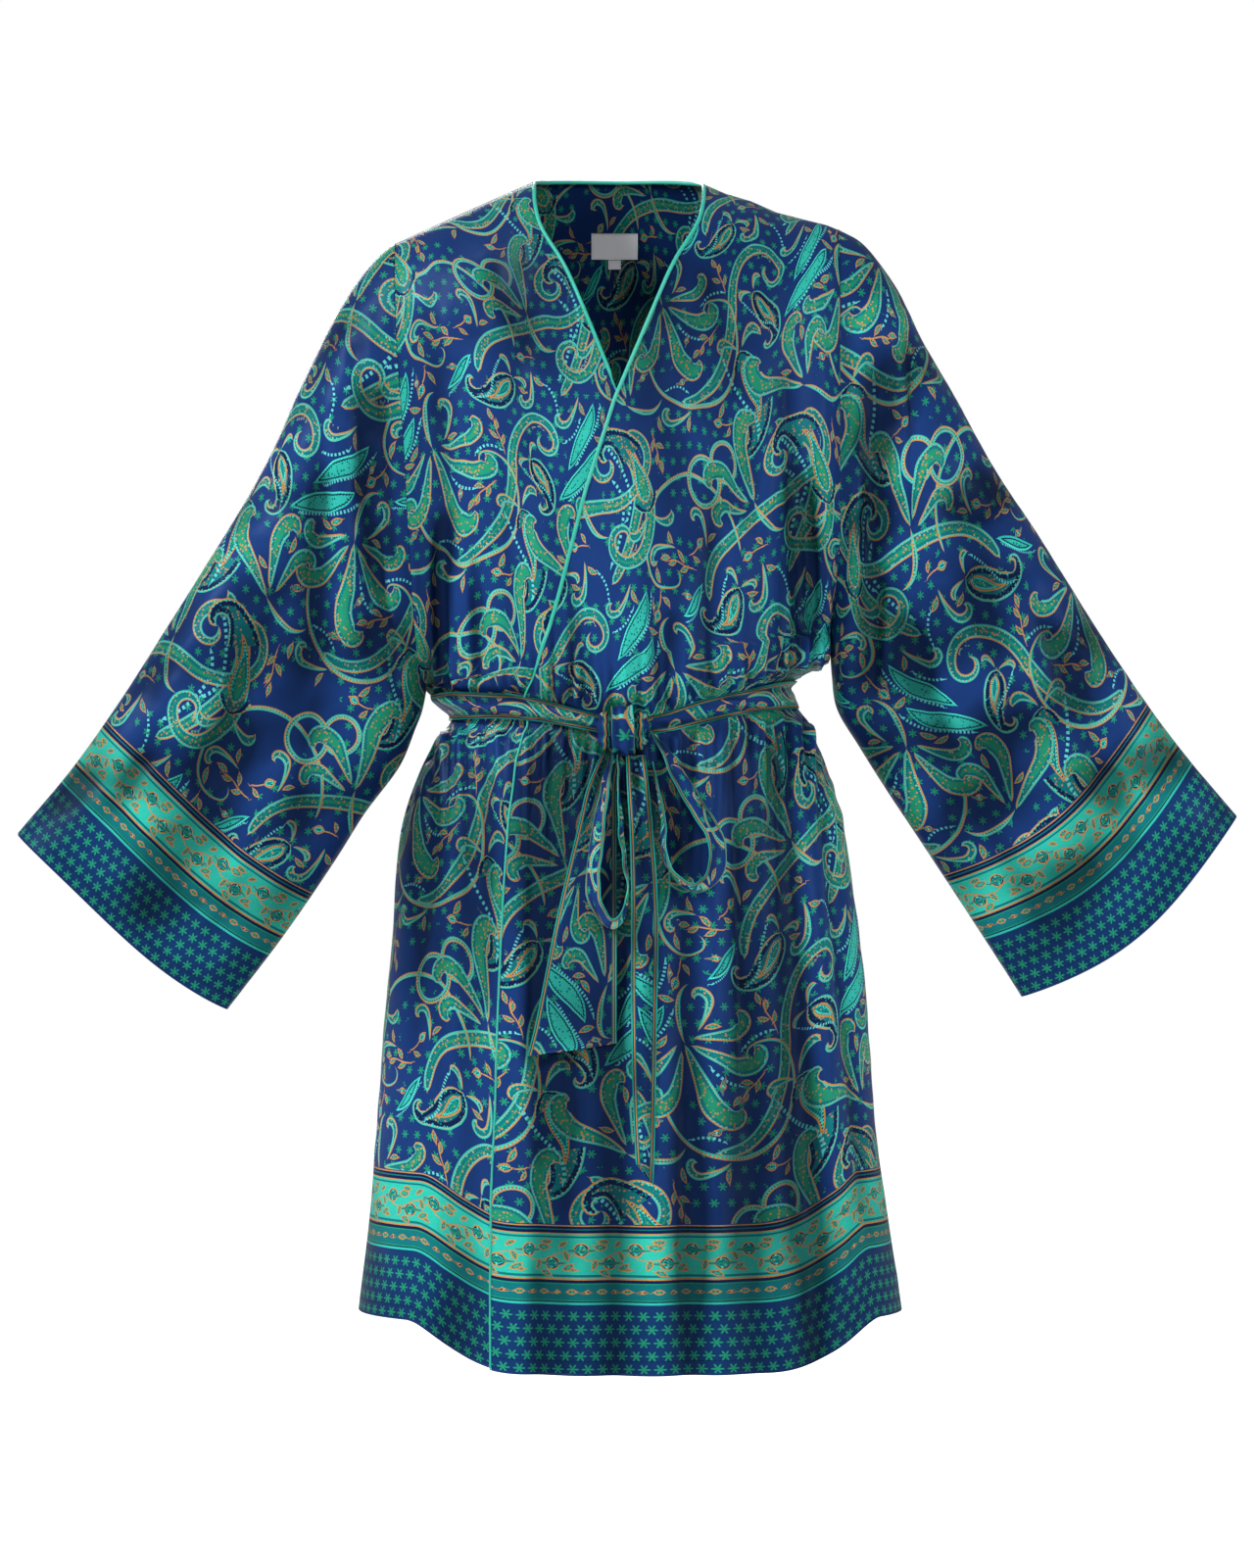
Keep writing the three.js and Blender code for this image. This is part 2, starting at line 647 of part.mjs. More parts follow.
// The armhole of one side: down the front seam, then up the back one. Each place on it has the edge
// point, the next point into the panel, the direction out of the panel and the cloth's inward one.
function armholeLoop(side) {
  const edges = {
    left: { front: [FRONT_COLUMNS, FRONT_COLUMNS - 1], back: [0, 1] },
    right: { front: [0, 1], back: [BACK_COLUMNS, BACK_COLUMNS - 1] },
  }[side];
  const place = (panel, row, edge, next) => ({
    at: panel.outer[row][edge],
    within: panel.outer[row][next],
    inward: panel.inner[row][edge].clone().sub(panel.outer[row][edge]).normalize(),
    share: armShare(row),
  });
  const places = [];
  for (let row = 0; row <= ARM_ROWS; row += 1) {
    places.push(place(PANELS[`front_${side}`], row, ...edges.front));
  }
  for (let row = ARM_ROWS - 1; row > 0; row -= 1) {
    places.push(place(PANELS.back, row, ...edges.back));
  }
  return places.map((here, i) => {
    const next = places[(i + 1) % places.length].at;
    const before = places[(i + places.length - 1) % places.length].at;
    const out = next.clone().sub(before).cross(here.inward).normalize();
    if (out.dot(here.at.clone().sub(here.within)) < 0) {
      out.negate();
    }
    const atEnd = i === 0 || i === ARM_ROWS;
    if (atEnd) {
      out.set(i === 0 ? SIDES[side].sign : 0, 0, i === 0 ? 0 : 1);
      here.inward.setY(0).normalize();
    }
    const lapped = smoothstep(here.share, FOOT_SHARE, 0.9);
    const start = here.at.clone().addScaledVector(out, SEAM_GAP);
    start.addScaledVector(here.inward, -lapped * SEAM_GAP);
    return { ...here, start: atEnd ? start.setY(0) : start };
  });
}

function outlineCurve(first, rest) {
  const points = [first, ...rest].map(({ x, z }) => new THREE.Vector3(x, 0, z));
  return new THREE.CatmullRomCurve3(points, false, "centripetal");
}

// Half depth of a sleeve's section at a share of the way from its upper fold to its seam.
function sleeveSection(share) {
  const rise = Math.sqrt(1 - (1 - Math.min(share / CHEST_SHARE, 1)) ** 2);
  const foot = clamp((share - SECTION.closeFrom) / (1 - SECTION.closeFrom), 0, 1);
  const narrowed = 1 - SECTION.narrowBy * smoothstep(share, SECTION.narrowFrom, SECTION.narrowTo);
  return rise * narrowed * Math.sqrt(1 - foot * foot);
}

function sleeveGrids(side) {
  const { cuffBow, bowSkew } = SLEEVES[side];
  const loop = armholeLoop(side);
  const top = outlineCurve(loop[0].start, SLEEVES[side].top);
  const bottom = outlineCurve(loop[ARM_ROWS].start, SLEEVES[side].bottom);
  const base = (along, i) => {
    const onFront = i <= ARM_ROWS;
    const { share } = loop[i];
    const upper = top.getPointAt(along);
    const lower = bottom.getPointAt(along);
    const bow = cuffBow * Math.sin(Math.PI * share ** bowSkew) * smoothstep(along, CUFF_BLEND, 1);
    const outward = new THREE.Vector3(upper.z - lower.z, 0, lower.x - upper.x).normalize();
    const point = upper.lerp(lower, share).addScaledVector(outward, bow * SIDES[side].sign);
    const depth = column(SLEEVE_DEPTH, "share", "depth", along) * sleeveSection(share);
    const fold = foldDepth(SLEEVE_FOLDS[side], point.x, point.z) * Math.min(depth / 20, 1);
    point.y = (onFront ? -1 : 1) * Math.max(depth - fold * smoothstep(along, 0, 0.15), 0);
    return point;
  };
  const outer = [];
  for (let ring = 0; ring <= SLEEVE_RINGS; ring += 1) {
    const along = ring / SLEEVE_RINGS;
    const settle = 1 - smoothstep(along, 0, ARMHOLE_BLEND);
    outer.push(
      loop.map(({ start }, i) => base(along, i).addScaledVector(start.clone().sub(base(0, i)), settle)),
    );
  }
  const facing = side === "left" ? WALL : -WALL;
  const inner = shifted(outer, gridNormals(outer, true), facing);
  loop.forEach(({ inward, share }, i) => {
    const own = inner[0][i].clone().sub(outer[0][i]).normalize();
    const turned = inward.clone().lerp(own, smoothstep(share, 0.5, 0.75)).normalize();
    inner[0][i] = outer[0][i].clone().addScaledVector(turned, WALL);
  });
  if (side === "right") {
    return { outer, inner };
  }
  return { outer: outer.map((ring) => ring.reverse()), inner: inner.map((ring) => ring.reverse()) };
}

// ---------- sash, knot and bow ----------

// A point lifted off the body surface between two rows, by height. front and across as in bodyPoint.
function bodyAtHeight(across, z, front, lift) {
  let row = 0;
  while (row < LAST_ROW - 1 && bodyPoint(across, row + 1, front).z > z) {
    row += 1;
  }
  const above = bodyPoint(across, row, front);
  const below = bodyPoint(across, row + 1, front);
  const share = (above.z - z) / (above.z - below.z);
  const normal = bodyNormal(across, row, front).lerp(bodyNormal(across, row + 1, front), share);
  normal.z = 0;
  return above.lerp(below, share).addScaledVector(normal.normalize(), lift);
}

// One place on the sash, half way round being the right side seam, with the front first.
function sashPoint(turn, height, lift) {
  const front = turn <= 0.5;
  const across = front ? 1 - 4 * turn : 4 * turn - 3;
  const frontShare = front ? smoothstep(1 - Math.abs(across), 0, 0.4) : 0;
  const raise = lerp(SASH_LIFT_BACK, SASH_LIFT_FRONT, frontShare) + lift;
  const x = column(BODY, "z", across < 0 ? "right" : "left", SASH.z) * Math.sin((across * Math.PI) / 2);
  return bodyAtHeight(across, sashHeight(x, front) + height, front, raise);
}

function sashGrid(lift) {
  const rows = [-0.5, -0.25, 0, 0.25, 0.5];
  return rows.map((share) => {
    const ring = [];
    for (let c = 0; c < 2 * BACK_COLUMNS; c += 1) {
      ring.push(sashPoint(c / (2 * BACK_COLUMNS), share * SASH.height, lift));
    }
    return ring;
  });
}

// A closed wall behind a grid of points.
function sheetGeometry(outer, wall) {
  return wallGeometry(outer, shifted(outer, gridNormals(outer), -wall));
}

// The knot: a rounded lump with a groove each side of the turn of cloth that binds it.
function knotGeometry() {
  const geometry = new THREE.SphereGeometry(1, KNOT_SEGMENTS.around, KNOT_SEGMENTS.down);
  const position = geometry.getAttribute("position");
  const point = new THREE.Vector3();
  const squared = (value) => Math.sign(value) * Math.abs(value) ** KNOT_POWER;
  for (let i = 0; i < position.count; i += 1) {
    point.fromBufferAttribute(position, i);
    const fromGroove = (Math.abs(point.x) - GROOVE.at) / GROOVE.width;
    const groove = 1 - GROOVE.depth * Math.exp(-fromGroove * fromGroove);
    position.setXYZ(
      i,
      KNOT.x + KNOT.halfWidth * squared(point.x),
      KNOT.y + KNOT.halfDepth * squared(point.y) * groove,
      KNOT.z + KNOT.halfHeight * squared(point.z) * groove,
    );
  }
  geometry.deleteAttribute("normal");
  geometry.deleteAttribute("uv");
  return mergeVertices(geometry, 1e-4);
}

function bowLoopGrid(side) {
  const { sign } = SIDES[side];
  return BOW_LOOPS[side].map(({ x, z, y, across, rise }) => {
    const row = [0, 0.5, 1].map(
      (share) => new THREE.Vector3(x + across * share, y - BOW_DEPTH * share, z + rise * share),
    );
    return sign > 0 ? row.reverse() : row;
  });
}

// The front body surface at a given x and height, moved forward.
function frontAt(x, z, lift) {
  let across = 0;
  for (let step = 0; step < 4; step += 1) {
    const side = x < 0 ? "right" : "left";
    const edge = bodyAtHeight(side === "left" ? 1 : -1, z, true, 0);
    across = Math.asin(x / Math.abs(edge.x)) / (Math.PI / 2);
  }
  const point = bodyAtHeight(across, z, true, 0);
  return new THREE.Vector3(x, point.y - lift, z);
}

function tailGrid(name) {
  const table = TAILS[name];
  return table.map(({ z, x0, x1, lift }, r) => {
    const skew = r === table.length - 1 ? TAIL_SKEW[name] : 0;
    const row = [];
    for (let c = 0; c <= TAIL_COLUMNS; c += 1) {
      const share = c / TAIL_COLUMNS;
      row.push(frontAt(lerp(x0, x1, share), z + skew * (name === "wide" ? share : 1 - share), lift));
    }
    return row;
  });
}

// A label on the inner face of the back, its face towards the front.
function labelGrid({ x, z, width, height, wall, columns, rows }) {
  const grid = [];
  for (let r = 0; r <= rows; r += 1) {
    const row = [];
    for (let c = 0; c <= columns; c += 1) {
      const atX = x + width * (c / columns - 0.5);
      const side = atX < 0 ? "right" : "left";
      const across = Math.asin((atX / SIDES[side].tipX) * Math.sin(ARMHOLE_ANGLE)) / ARMHOLE_ANGLE;
      const atZ = z + height * (0.5 - r / rows);
      const point = bodyAtHeight(across, atZ, false, -(WALL + 2 * SEAM_GAP + wall));
      row.push(new THREE.Vector3(atX, point.y, atZ));
    }
    grid.push(row);
  }
  return grid;
}

// The piping's run: up the edge of the front that laps over, round the back of the neck, down the other.
function pipingRun() {
  const points = [];
  const radii = [];
  const add = (edgeOuter, edgeInner, within, along, radius, gap = SEAM_GAP) => {
    const out = edgeOuter.clone().sub(within);
    out.addScaledVector(along, -out.dot(along) / along.lengthSq()).normalize();
    points.push(edgeOuter.clone().lerp(edgeInner, 0.5).addScaledVector(out, radius + gap));
    radii.push(radius);
  };
  const followRows = (panel, rows, edge, next, radiusAt) => {
    for (const row of rows) {
      const at = panel.outer[row][edge];
      const along = panel.outer[Math.min(row + 1, LAST_ROW)][edge]
        .clone()
        .sub(panel.outer[Math.max(row - 1, 0)][edge]);
      add(at, panel.inner[row][edge], panel.outer[row][next], along, radiusAt(at.z));
    }
  };
  const down = Array.from({ length: LAST_ROW + 1 }, (_, row) => row);
  const up = [...down].reverse();
  const { radius, thin, thinOver, thinUnder } = PIPING;
  followRows(PANELS.front_left, up, 0, 1, (z) => (z < thinOver ? thin : radius));
  const { outer, inner } = PANELS.back;
  for (let c = NECK_COLUMNS.first + 1; c < NECK_COLUMNS.last; c += 1) {
    const along = outer[0][c + 1].clone().sub(outer[0][c - 1]);
    add(outer[0][c], inner[0][c], outer[1][c], along, radius, 2 * SEAM_GAP);
  }
  const last = FRONT_COLUMNS;
  followRows(PANELS.front_right, down, last, last - 1, (z) => (z < thinUnder ? thin : radius));
  return { points, radii };
}

// ---------- the scene graph ----------

const robe = new THREE.Group();

const COLORS = {
  back: 0x1f3a6e,
  front_left: 0x24507c,
  front_right: 0x1f4673,
  sleeve_left: 0x21617f,
  sleeve_right: 0x21617f,
  sash: 0x2c8f86,
  sash_knot: 0x24507c,
  bow_loop_left: 0x2a7a86,
  bow_loop_right: 0x2a7a86,
  sash_tail_wide: 0x27597f,
  sash_tail_narrow: 0x27597f,
  piping: 0x2fb8a6,
  neck_label: 0x9aa4ae,
  size_tab: 0x9aa4ae,
};

function addPiece(name, geometry) {
  const satin = { color: COLORS[name], roughness: 0.38, metalness: 0, side: THREE.DoubleSide };
  const mesh = new THREE.Mesh(geometry, new THREE.MeshStandardMaterial(satin));
  mesh.name = name;
  robe.add(mesh);
}

addPiece("back", wallGeometry(PANELS.back.outer, PANELS.back.inner));
addPiece("front_left", wallGeometry(PANELS.front_left.outer, PANELS.front_left.inner));
addPiece("front_right", wallGeometry(PANELS.front_right.outer, PANELS.front_right.inner));
for (const side of ["left", "right"]) {
  const { outer, inner } = sleeveGrids(side);
  addPiece(`sleeve_${side}`, wallGeometry(outer, inner, true));
}
addPiece("sash", wallGeometry(sashGrid(SASH.wall), sashGrid(0), true));
addPiece("sash_knot", knotGeometry());
for (const side of ["left", "right"]) {
  addPiece(`bow_loop_${side}`, sheetGeometry(bowLoopGrid(side), BOW_WALL));
}
for (const name of ["wide", "narrow"]) {
  addPiece(`sash_tail_${name}`, sheetGeometry(tailGrid(name), TAIL_WALL));
}
const run = pipingRun();
addPiece("piping", tubeGeometry(run.points, run.radii, PIPING.sides));
addPiece("neck_label", sheetGeometry(labelGrid(LABEL), LABEL.wall));
addPiece("size_tab", sheetGeometry(labelGrid(SIZE_TAB), SIZE_TAB.wall));

export default robe;
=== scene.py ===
"""A short printed satin wrap robe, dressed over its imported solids. Sizes are in millimetres until a mesh
is made. +Z is up, the front faces -Y and the wearer's left is towards +X, as in the part's source."""

import math

import bpy
import numpy as np
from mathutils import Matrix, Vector


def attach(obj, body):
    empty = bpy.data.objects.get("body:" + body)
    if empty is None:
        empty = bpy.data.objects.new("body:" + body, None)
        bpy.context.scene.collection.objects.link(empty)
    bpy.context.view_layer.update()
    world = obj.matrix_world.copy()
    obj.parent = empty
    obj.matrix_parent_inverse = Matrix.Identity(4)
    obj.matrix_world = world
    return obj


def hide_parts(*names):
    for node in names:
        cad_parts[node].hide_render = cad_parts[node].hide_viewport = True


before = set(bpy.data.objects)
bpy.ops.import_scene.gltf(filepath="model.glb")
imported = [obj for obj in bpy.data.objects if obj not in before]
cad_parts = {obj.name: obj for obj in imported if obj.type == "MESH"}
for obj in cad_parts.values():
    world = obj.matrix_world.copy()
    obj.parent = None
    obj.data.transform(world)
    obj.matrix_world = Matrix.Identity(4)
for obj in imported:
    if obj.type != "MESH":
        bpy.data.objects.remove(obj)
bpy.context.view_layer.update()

MM = 0.001


# ---------- camera ----------

EYE = Vector((0.003, -3.6, -0.462))
VIEW_HEIGHT = 1.232  # metres that the frame's long side spans at the robe
camera_data = bpy.data.cameras.new("camera")
camera_data.lens = camera_data.sensor_width * abs(EYE.y) / VIEW_HEIGHT
camera_data.clip_end = 50
camera_data.dof.use_dof = False
camera = bpy.data.objects.new("camera", camera_data)
bpy.context.scene.collection.objects.link(camera)
camera.location = EYE
camera.rotation_euler = (math.pi / 2, 0, 0)
bpy.context.scene.camera = camera


def table(names, *rows):
    """A short table: a dict of its named columns."""
    return dict(zip(names.split(), np.array(rows, float).T))


def smooth(value, start, end):
    """0 before start, 1 after end and an even S between."""
    t = np.clip((value - start) / (end - start), 0, 1)
    return t * t * (3 - 2 * t)


def curve(rows, axis, key, at):
    """Smooth value of one column of a table at places along another."""
    order = np.argsort(rows[axis])
    x, y = rows[axis][order], rows[key][order]
    slope = np.empty_like(y)
    slope[1:-1] = (y[2:] - y[:-2]) / (x[2:] - x[:-2])
    slope[0] = (y[1] - y[0]) / (x[1] - x[0])
    slope[-1] = (y[-1] - y[-2]) / (x[-1] - x[-2])
    i = np.clip(np.searchsorted(x, at) - 1, 0, len(x) - 2)
    span = x[i + 1] - x[i]
    t = np.clip((at - x[i]) / span, 0, 1)
    h = t * t * (3 - 2 * t)
    bend = span * (t * (1 - t) ** 2 * slope[i] - t * t * (1 - t) * slope[i + 1])
    return y[i] * (1 - h) + y[i + 1] * h + bend


def straight(rows, axis, key, at):
    """Straight value of one column of a table at places along another."""
    order = np.argsort(rows[axis])
    return np.interp(at, rows[axis][order], rows[key][order])


def fold_depth(folds, x, z):
    """Depth of soft folds at x, z. Each runs straight from one end to the other."""
    depth = np.zeros(np.broadcast(x, z).shape)
    for x0, z0, x1, z1, width, deep in zip(*folds.values()):
        run_x, run_z = x1 - x0, z1 - z0
        along = np.clip(((x - x0) * run_x + (z - z0) * run_z) / (run_x ** 2 + run_z ** 2), 0, 1)
        away = np.hypot(x - x0 - run_x * along, z - z0 - run_z * along) / width
        depth += deep * np.exp(-away * away) * np.sqrt(np.sin(np.pi * along))
    return depth


# ---------- the part's shape, in millimetres ----------

BODY = table(
    "z left right front back",
    (60, 168, 181, 95, 95), (-110, 168, 176, 97, 96), (-200, 168, 170, 105, 100),
    (-277, 168, 166, 109, 101), (-345, 162, 162, 110, 99), (-365, 162, 160, 108, 96),
    (-375, 155, 158, 105, 93), (-382, 141, 156, 99, 90), (-389, 131, 149.5, 92, 86),
    (-396, 130, 142, 89, 84), (-403, 134, 135, 89, 84), (-411, 140, 137, 89, 84),
    (-420, 147, 146, 91, 87), (-432, 151, 152, 94, 91), (-447, 158, 159, 97, 95),
    (-475, 167, 169, 101, 101), (-500, 173, 175, 105, 106), (-538, 178, 179, 109, 111),
    (-577, 184, 181, 113, 116), (-654, 192, 188, 119, 121), (-731, 198, 193, 125, 126),
    (-808, 209, 200, 130, 130), (-874, 219, 208, 133, 132), (-930, 226, 213, 136, 134),
)
SHOULDER = table(
    "x z",
    (-182, -39), (-160, -29), (-120, -11), (-100, -2), (-70, 11), (64, 9), (80, 2), (100, -4),
    (120, -13), (140, -18), (160, -23), (175, -29),
)
OVER_EDGE = table(
    "z x",
    (9, 65), (-9, 62), (-166, -4), (-237, -26), (-323, -48), (-387, -67), (-411, -73), (-442, -80),
    (-488, -86), (-553, -90), (-669, -94), (-791, -97), (-920, -97),
)
UNDER_EDGE = table(
    "z x",
    (11, -71), (-9, -68), (-166, -4), (-237, 27), (-323, 50), (-387, 66), (-440, 66), (-600, 50),
    (-780, 30), (-920, 18),
)
FRONT_FOLDS = table(
    "x0 z0 x1 z1 width depth",
    (-138, -250, -141, -400, 9, 9), (-110, -270, -113, -385, 8, 4), (138, -215, 143, -360, 10, 10),
    (90, -260, 82, -392, 12, -5), (20, -290, 24, -405, 9, 4), (-66, -440, -62, -1010, 15, 7),
    (-97, -640, -90, -1010, 14, -5), (-120, -430, -138, -1010, 17, 5), (-2, -420, -8, -1010, 15, 8),
    (42, -420, 52, -1010, 14, 7), (92, -420, 104, -1010, 15, 5), (118, -415, 152, -1010, 15, 8),
)
BACK_FOLDS = table(
    "x0 z0 x1 z1 width depth",
    (-118, -240, -122, -400, 12, 7), (116, -230, 124, -385, 12, 7), (-52, -280, -46, -395, 12, 5),
    (34, -270, 40, -395, 12, 6), (-130, -430, -156, -1010, 16, 7), (-78, -420, -92, -1010, 16, 8),
    (-30, -420, -38, -1010, 14, 6), (14, -420, 12, -1010, 16, 8), (66, -420, 76, -1010, 15, 7),
    (112, -420, 140, -1010, 16, 8),
)
SLEEVE_DEPTH = table(
    "share depth",
    (0, 52), (0.3, 50), (0.6, 44), (1, 34),
)
SLEEVE_TOP_LEFT = table(
    "x z",
    (186, -36), (199, -50), (216, -75), (233, -110), (256, -150), (288, -208), (330, -273), (369, -335),
    (407, -393), (448, -447), (482, -487),
)
SLEEVE_BOTTOM_LEFT = table(
    "x z",
    (164, -377), (168, -403), (185, -432), (209, -470), (229, -500), (262, -550), (301, -610),
    (313, -629),
)
SLEEVE_TOP_RIGHT = table(
    "x z",
    (-186, -42), (-203, -60), (-223, -90), (-253, -150), (-279, -208), (-317, -273), (-356, -335),
    (-393, -393), (-431, -447), (-476, -501),
)
SLEEVE_BOTTOM_RIGHT = table(
    "x z",
    (-158, -405), (-163, -418), (-175, -447), (-203, -485), (-225, -520), (-266, -580), (-311, -639),
)
SLEEVE_FOLDS_LEFT = table(
    "x0 z0 x1 z1 width depth",
    (222, -90, 222, -330, 9, -6), (196, -120, 186, -400, 13, 8), (205, -300, 262, -500, 14, 6),
    (262, -230, 318, -560, 18, 6), (330, -330, 400, -520, 16, 5),
)
SLEEVE_FOLDS_RIGHT = table(
    "x0 z0 x1 z1 width depth",
    (-205, -110, -190, -400, 13, 8), (-228, -150, -214, -360, 9, -5), (-230, -300, -262, -520, 14, 6),
    (-290, -270, -318, -560, 18, 6), (-350, -360, -400, -530, 16, 5),
)
BOW_LEFT = table(
    "x z y across rise",
    (21.5, -422, -107, 0, 0), (37, -440, -106, -6, -3), (54, -462, -107, -11, -5),
    (69, -486, -112, -13, -5), (77, -505, -116, -13, -1), (78, -523, -118, -12, 3),
    (71, -538, -119, -8, 6), (57, -545, -119, -2, 7), (43, -538, -119, 2, 5), (32, -521, -118, 3, 2),
    (29, -484, -112, 1, 0), (23, -446, -104, -1, 1),
)
BOW_RIGHT = table(
    "x z y across rise",
    (-9, -439.8, -108.6, 1, 0), (-16, -462, -108, 6, 0), (-23, -488, -112, 9, 0),
    (-27, -514, -117, 11, 0), (-28, -538, -120, 11, 1), (-25, -556, -121, 9, 4),
    (-16, -569, -122, 5, 7), (-6, -572, -122, 1, 8), (2, -560, -122, -1, 5), (3, -532, -119, -1, 1),
    (-1, -498, -113, -1, 0), (-4, -462, -108, 0, 0), (-4, -439.8, -108.6, 0, 0),
)
TAIL_WIDE = table(
    "z x0 x1 lift",
    (-438.9, -17, -1.5, 15), (-466, -28, -5, 11), (-492, -34, -5, 9), (-530, -43, -5, 9.5),
    (-570, -52, -5, 9.5), (-610, -60, -5, 9.5), (-645, -67, -5, 9.5), (-669, -73, -5, 9.5),
)
TAIL_NARROW = table(
    "z x0 x1 lift",
    (-440, 2, 17, 21.5), (-466, 3, 20, 20), (-500, 5, 23, 17), (-540, 6, 26, 13), (-580, 6, 27, 9),
    (-630, 6, 26, 7), (-690, 7, 25, 7), (-740, 9, 24, 7), (-766, 11, 23, 7),
)

SLEEVES = {"left": (SLEEVE_TOP_LEFT, SLEEVE_BOTTOM_LEFT), "right": (SLEEVE_TOP_RIGHT, SLEEVE_BOTTOM_RIGHT)}
# How far each cuff bows out, and how much lower than its middle it is fullest.
CUFFS = {"left": (21, 1.2), "right": (8, 1.8)}
SLEEVE_FOLDS = {"left": SLEEVE_FOLDS_LEFT, "right": SLEEVE_FOLDS_RIGHT}
BOW_LOOPS = {"left": BOW_LEFT, "right": BOW_RIGHT}
BOW_DEPTH = 15
TAILS = {"wide": TAIL_WIDE, "narrow": TAIL_NARROW}
TAIL_SKEW = {"wide": 10, "narrow": 15}
KNOT = {"x": 0, "y": -111.7, "z": -421, "half_width": 20, "half_height": 19, "half_depth": 12}
PIPING = {"radius": 1.5, "thin": 0.8, "thin_over": -370, "thin_under": -150}
LABEL = {"x": -7, "z": -31, "width": 37, "height": 20, "wall": 1}
SIZE_TAB = {"x": -7, "z": -45, "width": 10, "height": 7, "wall": 1}
WALL = 1.6  # thickness of the solids behind the cloth

# Fine creases, as troughs where the depth is positive and ridges where it isn't.
FRONT_CREASES = table(
    "x0 z0 x1 z1 width depth",
    (-150, -90, -132, -300, 8, 3.0), (-118, -120, -100, -330, 9, -2.6), (-96, -200, -84, -395, 7, 3.2),
    (-70, -240, -60, -395, 8, -2.4), (-143, -255, -143, -400, 6, 6.0),
    (-127, -300, -126, -392, 6, -3.4), (-113, -280, -112, -385, 4, 3.4), (-40, -300, -30, -400, 5, 3.0),
    (4, -330, 2, -402, 5, -2.8), (38, -330, 34, -402, 5, 3.6), (52, -300, 46, -400, 5, -2.6),
    (70, -220, 60, -398, 7, 3.2), (112, -180, 108, -385, 8, -3.4), (124, -140, 136, -340, 7, 4.0),
    (143, -225, 148, -350, 5, 5.0), (152, -80, 156, -280, 7, -2.6), (56, -50, 92, -170, 11, 2.4),
    (30, -110, 70, -250, 11, -2.2), (-106, -50, -66, -150, 11, 2.6), (-84, -110, -30, -260, 12, -2.2),
    (-150, -425, -164, -680, 7, 3.0), (-134, -425, -128, -800, 9, -3.2),
    (-104, -430, -106, -640, 7, 2.6), (-52, -425, -46, -740, 7, 3.2), (-30, -425, -34, -700, 8, -2.8),
    (18, -425, 22, -760, 7, 3.4), (64, -425, 74, -960, 9, -3.6), (82, -425, 90, -700, 5, 2.8),
    (132, -425, 172, -860, 9, -3.8), (148, -430, 190, -820, 6, 4.0), (-82, -520, -76, -960, 8, -3.0),
    (24, -640, 28, -960, 11, -3.0), (-40, -560, -46, -960, 9, 2.6),
)
BACK_CREASES = table(
    "x0 z0 x1 z1 width depth",
    (-146, -90, -126, -300, 8, 3.0), (-92, -180, -84, -390, 8, -3.2), (-70, -250, -62, -395, 5, 3.0),
    (-20, -270, -14, -398, 6, 3.0), (12, -260, 10, -398, 7, -2.6), (58, -250, 52, -396, 5, 3.4),
    (84, -200, 78, -392, 8, -3.2), (142, -90, 128, -320, 8, 3.0), (-70, -70, -40, -180, 12, 2.4),
    (64, -70, 36, -190, 12, 2.4), (-148, -425, -170, -760, 7, 3.4), (-104, -425, -116, -940, 9, -3.6),
    (-56, -425, -62, -700, 6, 3.0), (-8, -425, -12, -940, 9, -3.4), (36, -425, 42, -760, 6, 3.0),
    (88, -425, 98, -940, 9, -3.4), (134, -425, 172, -800, 7, 3.4),
)
SLEEVE_CREASES = {
    "left": table(
        "x0 z0 x1 z1 width depth",
        (223, -95, 223, -290, 5, 4.4), (236, -120, 240, -300, 8, -3.1), (200, -290, 195, -385, 5, 4.1),
        (182, -200, 178, -380, 6, -2.7), (220, -330, 268, -470, 8, 3.1),
        (250, -300, 320, -470, 10, -2.7), (300, -290, 372, -430, 9, 2.7),
        (340, -380, 420, -500, 9, -2.4), (270, -460, 330, -580, 9, 2.7),
    ),
    "right": table(
        "x0 z0 x1 z1 width depth",
        (-190, -90, -178, -300, 6, 3.1), (-216, -110, -210, -330, 7, -3.1),
        (-196, -260, -176, -400, 5, 4.1), (-236, -180, -240, -360, 8, 3.1),
        (-230, -350, -280, -500, 9, -3.1), (-262, -300, -330, -470, 9, 3.1),
        (-310, -300, -380, -440, 9, -2.4), (-350, -400, -420, -520, 9, 2.4),
        (-262, -470, -330, -600, 9, 2.7),
    ),
}

SEAM_GAP = 0.3  # between a sleeve and the body, and behind the label
HALF_GAP = 0.05  # how far the front and the back each stand from the plane of the side seams
OVER_LIFT = 3  # how far the lapping front stands out from the body's surface
UNDER_LIFT = -3.2
SIDES = {
    "left": {"sign": 1, "tip_x": 168, "tip_z": -26, "underarm_z": -345, "hem_from": 0.42, "hem_to": 0.88},
    "right": {"sign": -1, "tip_x": 179, "tip_z": -38, "underarm_z": -385, "hem_from": 0.58, "hem_to": 0.95},
}
HIP_Z = -447
HEM_SIDE_Z = -874
HEM_DROP = {"front": 36, "back": 22}
NECK = {"centre": -3, "half": 67, "rise": 16, "depth": 52, "square": 3.6, "ease": 6}
CHEST_SHARE = 0.25  # share of the armhole's height above the chest
FOOT_SHARE = 0.6  # the armhole closes below this share of its height
ARMHOLE_HALF_DEPTH = 50
ARMHOLE_ANGLE = math.radians(52)  # how far round the body the armhole's edges lie

